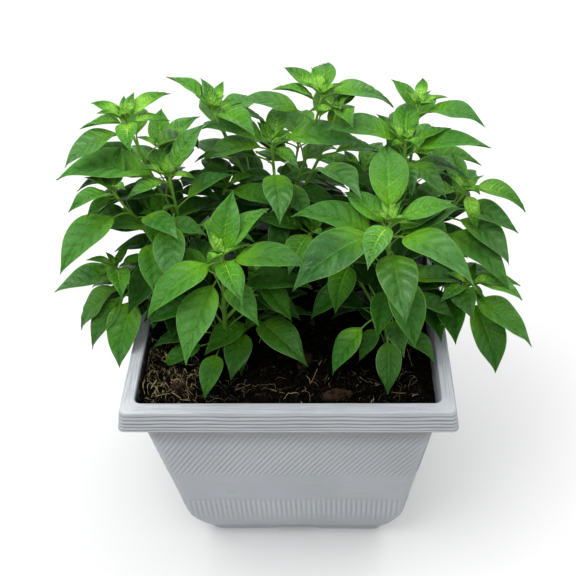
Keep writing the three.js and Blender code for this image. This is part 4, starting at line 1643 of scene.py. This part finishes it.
class Crown:
    """The space that the leaves of all plants share."""

    sight = Vector((-0.04, 0.74, -0.67))
    most_hidden = 0.3
    sky_ways = 12
    sky_lift = 2.5
    sky_low = 30.0
    sky_span = 58.0
    lowest = 236.0
    rim_margin = 6.0
    rim_rise = 4.0
    near_share = 0.55

    def __init__(self, planter: Planter) -> None:
        """Start with no leaves over a planter.

        Args:
            planter: The planter.
        """
        self.planter = planter
        self.trees: list[tuple[Array, float, BVHTree]] = []
        self.points: list[Array] = []
        self.faces: list[Array] = []
        self.shown: BVHTree | None = None

    def take(self, leaf: Leaf) -> None:
        """Keep the place of a leaf.

        Args:
            leaf: The leaf, which has grown.
        """
        points, faces = leaf.skeleton()
        self.trees.append((points.mean(axis=0), leaf.length, touch_tree(points, faces)))
        self.faces.append(faces + len(points) * len(self.points))
        self.points.append(points)

    def close(self) -> None:
        """Take the leaves so far as the ones that must stay in sight."""
        self.shown = touch_tree(np.concatenate(self.points), np.concatenate(self.faces))

    def is_blocked(self, start: Vector, way: Vector) -> bool:
        """Say whether one of the shown leaves lies along a way from a start."""
        return self.shown.ray_cast(start, way)[0] is not None

    def hides(self, leaf: Leaf) -> bool:
        """Say whether a leaf would hide much of the leaves that must stay in sight.

        Args:
            leaf: The leaf that would grow.

        Returns:
            Whether it hides them.
        """
        points, _ = leaf.skeleton()
        hits = sum(self.is_blocked(Vector(point), self.sight) for point in points)
        return hits > self.most_hidden * len(points)

    def cover(self, leaf: Leaf) -> float:
        """Return the share of the sky over a leaf that the leaves so far cover.

        Args:
            leaf: The leaf, which may be one of them.

        Returns:
            The share, from 0 in the open to 1 in full shade.
        """
        middle_line = leaf.skeleton()[0][1::3]
        hits = 0
        for index in range(self.sky_ways):
            turn = GOLDEN_ANGLE * index
            rise = math.radians(self.sky_low + self.sky_span * (index + 0.5) / self.sky_ways)
            way = Vector((math.cos(turn) * math.cos(rise), math.sin(turn) * math.cos(rise), math.sin(rise)))
            hits += sum(self.is_blocked(Vector(point) + self.sky_lift * way, way) for point in middle_line)
        return hits / (len(middle_line) * self.sky_ways)

    def is_free(self, leaf: Leaf) -> bool:
        """Say whether a leaf would cross no other leaf, nor the planter or its soil.

        Args:
            leaf: The leaf that would grow.

        Returns:
            Whether it has the room.
        """
        points, faces = leaf.skeleton()
        outer = np.abs(points[:, :2]).max(axis=1)
        reach = self.planter.half_at(self.planter.height) - self.planter.wall - self.rim_margin
        over_rim = (outer > reach) & (points[:, 2] < self.planter.height + self.rim_rise)
        if over_rim.any() or points[:, 2].min() < self.lowest:
            return False
        middle = points.mean(axis=0)
        tree = touch_tree(points, faces)
        return not any(
            np.linalg.norm(middle - other_middle) < (leaf.length + length) * self.near_share and tree.overlap(other)
            for other_middle, length, other in self.trees)


@dataclass
class Plant:
    """One chilli pepper plant: its stems, petioles, blades and the buds at its shoot tips.

    Where behind is set, the leaves that grow inside the crown keep to the back of the plant.
    """

    name: str
    shoots: tuple[Shoot, ...]
    seed: int
    leaves: list[Leaf] = field(default_factory=list)
    foot_level: float = 208.0
    main_radii: Pair = (2.6, 1.05)
    side_radii: Pair = (1.9, 0.95)
    stem_sides: int = 12
    stem_hairs: int = 40
    node_swell: float = 0.16
    node_width: float = 2.6
    woody_level: float = 262.0
    woody_fade: float = 34.0
    bud_lengths: Numbers = (8.0, 11.0, 14.5, 18.0, 22.0, 26.0)
    behind: bool = False
    inner_start: float = 16.0
    inner_step: float = 5.0
    inner_end: float = 6.0
    inner_tries: int = 4
    inner_spread: float = 38.0
    inner_backs: Pair = (15.0, 165.0)
    least_back: float = 0.15
    inner_lengths: Pair = (36.0, 60.0)
    inner_rises: Pair = (-34.0, 14.0)
    shade_cover: Pair = (0.42, 0.98)
    shade_share: float = 0.5

    def add_stem(self, parts: MeshParts, shoot: Shoot, main: bool, rng: Random) -> None:
        """Add a shoot's stem, swollen a little where its leaves grow.

        Args:
            parts: Where the tube goes.
            shoot: The shoot.
            main: Whether this is the plant's main stem, which stands in the soil.
            rng: The source of chance.
        """
        share = np.linspace(0.0, 1.0, 30)
        points = shoot.points(share)
        first, last = self.main_radii if main else self.side_radii
        radii = first + (last - first) * share
        for drop, *_ in shoot.leaves:
            radii = radii * (
                1.0 + self.node_swell * bump_at(share * shoot.length, shoot.length - drop, self.node_width))
        radii[-1] *= 0.6
        if main:
            points = np.concatenate(([[*shoot.start[:2], self.foot_level]], points))
            radii = np.concatenate((radii[:1], radii))
        vertices, faces = tube(points, radii, self.stem_sides)
        level = vertices[:, 2]
        woody = np.clip((self.woody_level - level) / self.woody_fade, 0.0, 0.9)
        age = np.clip((level - shoot.end[2] + 45.0) / 60.0, 0.1, 0.7)
        around = np.arange(len(level)) % self.stem_sides / self.stem_sides
        parts.add(vertices, faces, in_columns(age, 0.5, woody, 1.0), in_columns(around, level, 0.0))
        add_hairs(parts, rng, points[-12:], radii[-12:], self.stem_hairs)

    def buds(self, shoot: Shoot, rng: Random) -> list[Leaf]:
        """Grow the smallest leaves, which still stand folded round the shoot's tip.

        Args:
            shoot: The shoot.
            rng: The source of chance.

        Returns:
            The leaves.
        """
        leaves = []
        first = rng.uniform(0.0, 360.0)
        for index, length in enumerate(self.bud_lengths):
            turn = first + math.degrees(GOLDEN_ANGLE) * index + rng.uniform(-14.0, 14.0)
            rise = 66.0 - 8.0 * index + rng.uniform(-8.0, 8.0)
            detail = Detail.BUD if length < 12.0 else Detail.SMALL
            leaves.append(Leaf(shoot.leaf_root(0.0), 0.0, turn, rise, length, rng, detail))
        return leaves

    def grow_listed(self, crown: Crown) -> None:
        """Grow the listed leaves and the buds.

        Args:
            crown: The space that the leaves share.
        """
        rng = np.random.default_rng(self.seed)
        for shoot in self.shoots:
            for row in shoot.leaves:
                self.leaves.append(Leaf(shoot.leaf_root(row[0]), *row, rng, detail_for(row[3])))
                crown.take(self.leaves[-1])
            self.leaves += self.buds(shoot, rng)

    def grow_inner(self, crown: Crown) -> None:
        """Grow the shaded leaves inside the crown, wherever the shoots have room for them.

        Args:
            crown: The space that the leaves share.
        """
        rng = np.random.default_rng(self.seed + 1)
        for shoot in self.shoots:
            turn = rng.uniform(0.0, 360.0)
            for drop in np.arange(self.inner_start, shoot.length - self.inner_end, self.inner_step).tolist():
                turn += math.degrees(GOLDEN_ANGLE)
                for _ in range(self.inner_tries):
                    length = rng.uniform(*self.inner_lengths)
                    heading = turn + rng.uniform(-self.inner_spread, self.inner_spread)
                    if self.behind and math.sin(math.radians(heading)) < self.least_back:
                        heading = rng.uniform(*self.inner_backs)
                    rise = rng.uniform(*self.inner_rises)
                    leaf = Leaf(shoot.leaf_root(drop), drop, heading, rise, length, rng, Detail.INNER)
                    if crown.is_free(leaf) and not crown.hides(leaf):
                        self.leaves.append(leaf)
                        crown.take(leaf)
                        break

    def shade(self, crown: Crown) -> None:
        """Paint shade on the leaves, darker where others cover them from the sky.

        Args:
            crown: The space that the leaves share.
        """
        for leaf in self.leaves:
            leaf.low = min(0.14 * leaf.low + float(smooth(*self.shade_cover, crown.cover(leaf))), 1.0)
            leaf.age *= 1.0 - 0.7 * leaf.low

    def build(self, leaf_material: Material, shade_material: Material, stem_material: Material) -> None:
        """Build and dress the plant.

        Args:
            leaf_material: The finish of the blades in the open.
            shade_material: The finish of the blades in the shade.
            stem_material: The stems' finish.
        """
        rng = np.random.default_rng(self.seed + 2)
        blades, shaded, stems = MeshParts(), MeshParts(), MeshParts()
        for index, shoot in enumerate(self.shoots):
            self.add_stem(stems, shoot, index == 0, rng)
        for leaf in self.leaves:
            leaf.add_blade(shaded if leaf.low > self.shade_share else blades)
            leaf.add_petiole(stems)
        node = f"plant_{self.name}"
        blades.build(f"leaves_{self.name}", leaf_material, Slot.FOLIAGE, node)
        shaded.build(f"shade_leaves_{self.name}", shade_material, Slot.FOLIAGE, node)
        stems.build(f"stems_{self.name}", stem_material, Slot.FOLIAGE, node)


PLANTS: dict[str, tuple[Shoot, ...]] = {
    "front_left": (
        Shoot((-60, -52, 222), (-52, -54, 347), (
            (1, 135, 50, 28), (2, 38, 28, 50), (8, 72, 52, 54), (0, 5, 15, 24), (10, 345, 5, 68), (3, 292, -12, 48),
            (28, 305, -10, 48), (8, 220, -20, 70), (22, 250, -30, 72), (56, 190, -20, 52), (94, 190, -20, 46),
            (106, 205, -20, 42), (104, 258, -22, 44), (46, 10, -10, 62), (40, 120, 5, 54), (64, 82, 8, 42),
            (78, 140, -10, 48),
        )),
        Shoot((-59, -52, 240), (-31, -36, 254), (
            (4, 225, -5, 50), (1, 315, -15, 64), (12, 260, -15, 52), (0, 300, -50, 20), (20, 275, -18, 38),
            (3, 5, 0, 50),
        )),
        Shoot((-57, -53, 272), (-25, -32, 304), (
            (2, 30, 10, 40), (4, 105, 5, 40), (4, 310, -20, 46), (20, 60, -10, 34), (22, 345, -30, 46),
        )),
    ),
    "front_right": (
        Shoot((88, -46, 222), (85, -50, 376), (
            (1, 90, 22, 68), (8, 135, 8, 46), (4, 10, 8, 50), (0, 345, 5, 22), (2, 248, -10, 46), (0, 45, 55, 18),
            (14, 315, -5, 76), (26, 277, -12, 68), (14, 212, -15, 84), (26, 165, 5, 72), (42, 287, -40, 62),
            (60, 258, -20, 44), (98, 280, -5, 42), (100, 220, -50, 52), (114, 268, -38, 47), (116, 309, -12, 42),
            (108, 238, -24, 34), (52, 130, 0, 54), (60, 45, 0, 50), (90, 95, -10, 48), (80, 345, -20, 42),
        )),
        Shoot((87, -48, 262), (54, -10, 304), (
            (2, 192, -15, 46), (4, 255, -20, 50), (4, 112, 12, 34), (22, 215, -30, 48), (24, 165, -25, 36),
        )),
    ),
    "left": (
        Shoot((-88, 12, 222), (-97, 0, 389), (
            (6, 122, 12, 36), (3, 38, 40, 48), (0, 0, -10, 20), (10, 185, 0, 84), (6, 215, -5, 36), (32, 20, 15, 46),
            (0, 160, 60, 18), (58, 110, 0, 52), (56, 350, -15, 52), (80, 82, -10, 48), (90, 170, -15, 50),
            (112, 130, -15, 46), (100, 290, -20, 46),
        )),
        Shoot((-92, 7, 280), (-112, -4, 348), (
            (6, 130, 10, 34), (4, 90, 60, 28), (3, 275, -5, 36), (12, 40, 0, 46), (0, 20, 40, 16), (16, 205, 5, 68),
        )),
        Shoot((-95, 3, 340), (-127, 10, 437), (
            (1, 160, 15, 30), (0, 100, 35, 20), (0, 35, 8, 38), (3, 5, 0, 30), (4, 180, -8, 36), (12, 204, -24, 54),
            (2, 282, -5, 38), (52, 165, 15, 44),
        )),
        Shoot((-92, 6, 290), (-142, -18, 388), (
            (6, 235, 10, 46), (8, 225, -10, 28), (4, 80, 38, 38), (0, 150, 40, 14), (30, 232, -20, 70),
        )),
        Shoot((-89, 11, 240), (-148, -34, 318), (
            (22, 175, -12, 40), (2, 285, 0, 42), (1, 205, -15, 16), (0, 70, 40, 14), (3, 20, 10, 26),
        )),
        Shoot((-89, 11, 236), (-143, -28, 288), (
            (2, 195, -48, 60), (12, 222, -46, 60), (16, 252, -50, 64), (20, 190, -20, 44),
        )),
        Shoot((-93, 6, 300), (-114, 60, 376), (
            (6, 95, 20, 44), (2, 35, 20, 42), (14, 170, 0, 42), (34, 120, -5, 46),
        )),
        Shoot((-93, 6, 300), (-56, 38, 348), (
            (2, 120, 0, 46), (4, 335, -10, 52), (24, 60, -15, 40), (26, 300, -25, 50),
        )),
    ),
    "back": (
        Shoot((-10, 60, 222), (-12, 35, 398), (
            (4, 78, 18, 42), (5, 170, 5, 56), (9, 190, -5, 54), (22, 170, -15, 62), (1, 20, 25, 18), (5, 315, -15, 30),
            (1, 140, 45, 20), (28, 276, -22, 54), (6, 3, -5, 70), (56, 345, -15, 46), (84, 205, -15, 52),
            (62, 130, 0, 56), (84, 70, -5, 54), (104, 10, -20, 50), (112, 150, -15, 48), (100, 238, -20, 40),
        )),
        Shoot((-11, 46, 300), (-60, 45, 423), (
            (4, 170, 40, 46), (2, 130, 55, 28), (2, 45, 10, 20), (6, 0, -14, 38), (4, 312, 0, 48), (30, 120, 5, 50),
            (76, 100, 0, 48),
        )),
        Shoot((-11, 46, 300), (31, 45, 436), (
            (4, 85, 0, 46), (0, 150, 20, 36), (24, 170, 0, 62), (6, 200, 25, 40), (3, 12, -20, 60), (34, 60, 5, 52),
            (60, 110, 0, 52), (80, 340, -15, 52),
        )),
        Shoot((-11, 46, 300), (44, 40, 425), (
            (2, 50, 12, 34), (1, 290, 5, 34), (0, 190, 0, 22), (66, 300, 5, 66), (30, 60, 0, 44), (54, 15, -15, 50),
        )),
        Shoot((-10, 52, 262), (22, 4, 324), (
            (2, 250, -10, 50), (4, 335, -10, 42), (6, 170, 8, 46), (28, 200, -15, 46), (50, 315, -25, 36),
        )),
        Shoot((-11, 48, 286), (8, 104, 350), (
            (2, 85, 0, 52), (4, 10, -5, 52), (4, 170, -5, 52), (26, 45, -15, 50), (28, 130, -15, 50),
            (50, 90, -20, 46),
        )),
    ),
    "right": (
        Shoot((98, 30, 222), (100, 18, 407), (
            (7, 82, 14, 46), (7, 10, 20, 36), (14, 350, 10, 62), (1, 225, 20, 17), (2, 165, 40, 18), (14, 128, 30, 38),
            (24, 352, -12, 46), (18, 318, -24, 42), (6, 180, 12, 62), (52, 45, -20, 54), (88, 60, -20, 52),
            (60, 150, -8, 46), (78, 120, 0, 54), (100, 172, -15, 42), (72, 265, -20, 48), (118, 108, -15, 42),
            (112, 350, -20, 46),
        )),
        Shoot((99, 22, 320), (112, 45, 425), (
            (8, 130, 30, 34), (0, 0, 15, 22), (7, 335, -5, 52), (20, 70, 0, 46), (44, 100, 0, 48),
        )),
        Shoot((99, 25, 280), (155, 20, 355), (
            (6, 98, 15, 42), (0, 345, -18, 50), (3, 195, -5, 48), (2, 290, -45, 32), (60, 318, -20, 74),
            (26, 336, -10, 54), (36, 320, -24, 62), (20, 60, 0, 46), (46, 50, -5, 46),
        )),
        Shoot((98, 27, 252), (158, -30, 292), (
            (6, 232, 5, 36), (1, 342, -12, 44), (4, 0, -10, 42), (0, 320, -30, 16), (30, 20, -10, 42),
        )),
        Shoot((98, 28, 246), (158, -25, 269), (
            (1, 300, -55, 68), (1, 325, -22, 66),
        )),
        Shoot((99, 24, 290), (64, 62, 342), (
            (2, 150, 0, 48), (4, 265, -10, 38), (4, 65, 5, 48), (26, 200, -20, 50), (28, 115, -10, 48),
        )),
        Shoot((99, 25, 284), (122, 84, 346), (
            (2, 75, 0, 50), (4, 350, -5, 50), (26, 30, -15, 48), (28, 115, -15, 46),
        )),
    ),
}


@dataclass(frozen=True)
class Lamp:
    """A large soft lamp: its name, its place and size in metres, and its power in watts."""

    name: str
    place: Place
    size: float
    power: float


@dataclass
class Studio:
    """The pale floor, the soft light and the camera at the photograph's viewing angle. Metres."""

    camera_place: Place = (0.036, -0.6135, 0.827)
    pitch: float = 42.63
    yaw: float = -3.55
    roll: float = -2.8
    focal_pixels: float = 898.5
    image_pixels: float = 576.0
    sensor: float = 36.0
    clip_end: float = 20.0
    floor_reach: float = 40.0
    sky: Pair = (0.42, 1.9)
    sky_rise: Pair = (0.15, 1.0)
    glow: float = 0.5
    glow_top: float = 0.16
    lamps: tuple[Lamp, ...] = (
        Lamp("soft_lamp", (-0.55, -0.45, 1.75), 0.9, 15.0),
        Lamp("back_lamp", (0.7, 1.1, 1.5), 1.2, 7.0),
    )
    lamp_target: Place = (0.0, 0.0, 0.25)
    finish: FloorFinish = FloorFinish()

    def add_camera(self) -> None:
        """Set the camera as the photograph was taken."""
        pitch, yaw, roll = (math.radians(angle) for angle in (self.pitch, self.yaw, self.roll))
        ahead = Vector((math.sin(yaw) * math.cos(pitch), math.cos(yaw) * math.cos(pitch), -math.sin(pitch)))
        level = Vector((math.cos(yaw), -math.sin(yaw), 0.0))
        upright = level.cross(ahead)
        right = math.cos(roll) * level + math.sin(roll) * upright
        up = math.cos(roll) * upright - math.sin(roll) * level
        data = bpy.data.cameras.new("photo_camera")
        data.sensor_width = self.sensor
        data.sensor_fit = "HORIZONTAL"
        data.lens = self.focal_pixels / self.image_pixels * self.sensor
        data.clip_end = self.clip_end
        camera = bpy.data.objects.new("photo_camera", data)
        turn = Matrix((right, up, -ahead)).transposed().to_4x4()
        camera.matrix_world = Matrix.Translation(Vector(self.camera_place)) @ turn
        link(camera)
        bpy.context.scene.camera = camera

    def add_lamp(self, lamp: Lamp) -> None:
        """Add a lamp that faces the plants.

        Args:
            lamp: Its place, size and power.
        """
        data = bpy.data.lights.new(lamp.name, "AREA")
        data.size = lamp.size
        data.energy = lamp.power
        made = bpy.data.objects.new(lamp.name, data)
        made.location = lamp.place
        made.rotation_euler = (Vector(self.lamp_target) - made.location).to_track_quat("-Z", "Y").to_euler()
        link(made)

    def add_floor(self) -> None:
        """Add the floor, which is a stage and no part of the object."""
        reach = self.floor_reach
        corners = [(-reach, -reach, 0), (reach, -reach, 0), (reach, reach, 0), (-reach, reach, 0)]
        mesh = bpy.data.meshes.new("pale_floor")
        mesh.from_pydata(corners, [], [(0, 1, 2, 3)])
        mesh.materials.append(self.finish.material("pale_floor"))
        floor = bpy.data.objects.new("pale_floor", mesh)
        link(floor)

    def add_sky(self) -> None:
        """Add a white sky that is brighter overhead, with a soft glow at the horizon."""
        world = bpy.data.worlds.new("soft_sky")
        world.use_nodes = True
        nodes, links = world.node_tree.nodes, world.node_tree.links
        parts = nodes.new("ShaderNodeSeparateXYZ")
        links.new(nodes.new("ShaderNodeTexCoord").outputs["Generated"], parts.inputs[0])
        total = nodes.new("ShaderNodeMath")
        for index, bounds in enumerate(((*self.sky_rise, *self.sky), (0.0, self.glow_top, self.glow, 0.0))):
            step = nodes.new("ShaderNodeMapRange")
            step.interpolation_type = "SMOOTHSTEP"
            for socket, value in zip(step.inputs[1:5], bounds):
                socket.default_value = value
            links.new(parts.outputs[2], step.inputs[0])
            links.new(step.outputs[0], total.inputs[index])
        background = nodes["Background"]
        links.new(total.outputs[0], background.inputs["Strength"])
        background.inputs["Color"].default_value = (*WHITE, 1.0)
        bpy.context.scene.world = world
        bpy.context.scene.view_settings.view_transform = "Standard"

    def build(self) -> None:
        """Build the floor, the light and the camera."""
        self.add_floor()
        self.add_sky()
        for lamp in self.lamps:
            self.add_lamp(lamp)
        self.add_camera()


def main() -> None:
    """Build the studio, the planter, the soil and the plants."""
    Studio().build()
    planter = Planter()
    planter.build()
    SoilBed(planter).build()
    leaf_material = LeafFinish().material("chilli_leaf")
    # The leaves in painted shade get a duller copy of the leaf finish.
    shade_material = LeafFinish(gloss=0.1).material("chilli_shade_leaf")
    stem_material = StemFinish().material("chilli_stem")
    plants = [Plant(name, shoots, SEED + 10 * index, behind="front" in name)
              for index, (name, shoots) in enumerate(PLANTS.items())]
    crown = Crown(planter)
    for plant in plants:
        plant.grow_listed(crown)
    crown.close()
    for plant in plants:
        plant.grow_inner(crown)
    crown.close()
    for plant in plants:
        plant.shade(crown)
        plant.build(leaf_material, shade_material, stem_material)
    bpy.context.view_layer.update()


if __name__ == "__main__":
    logging.basicConfig(level=logging.INFO, format="%(message)s")
    main()
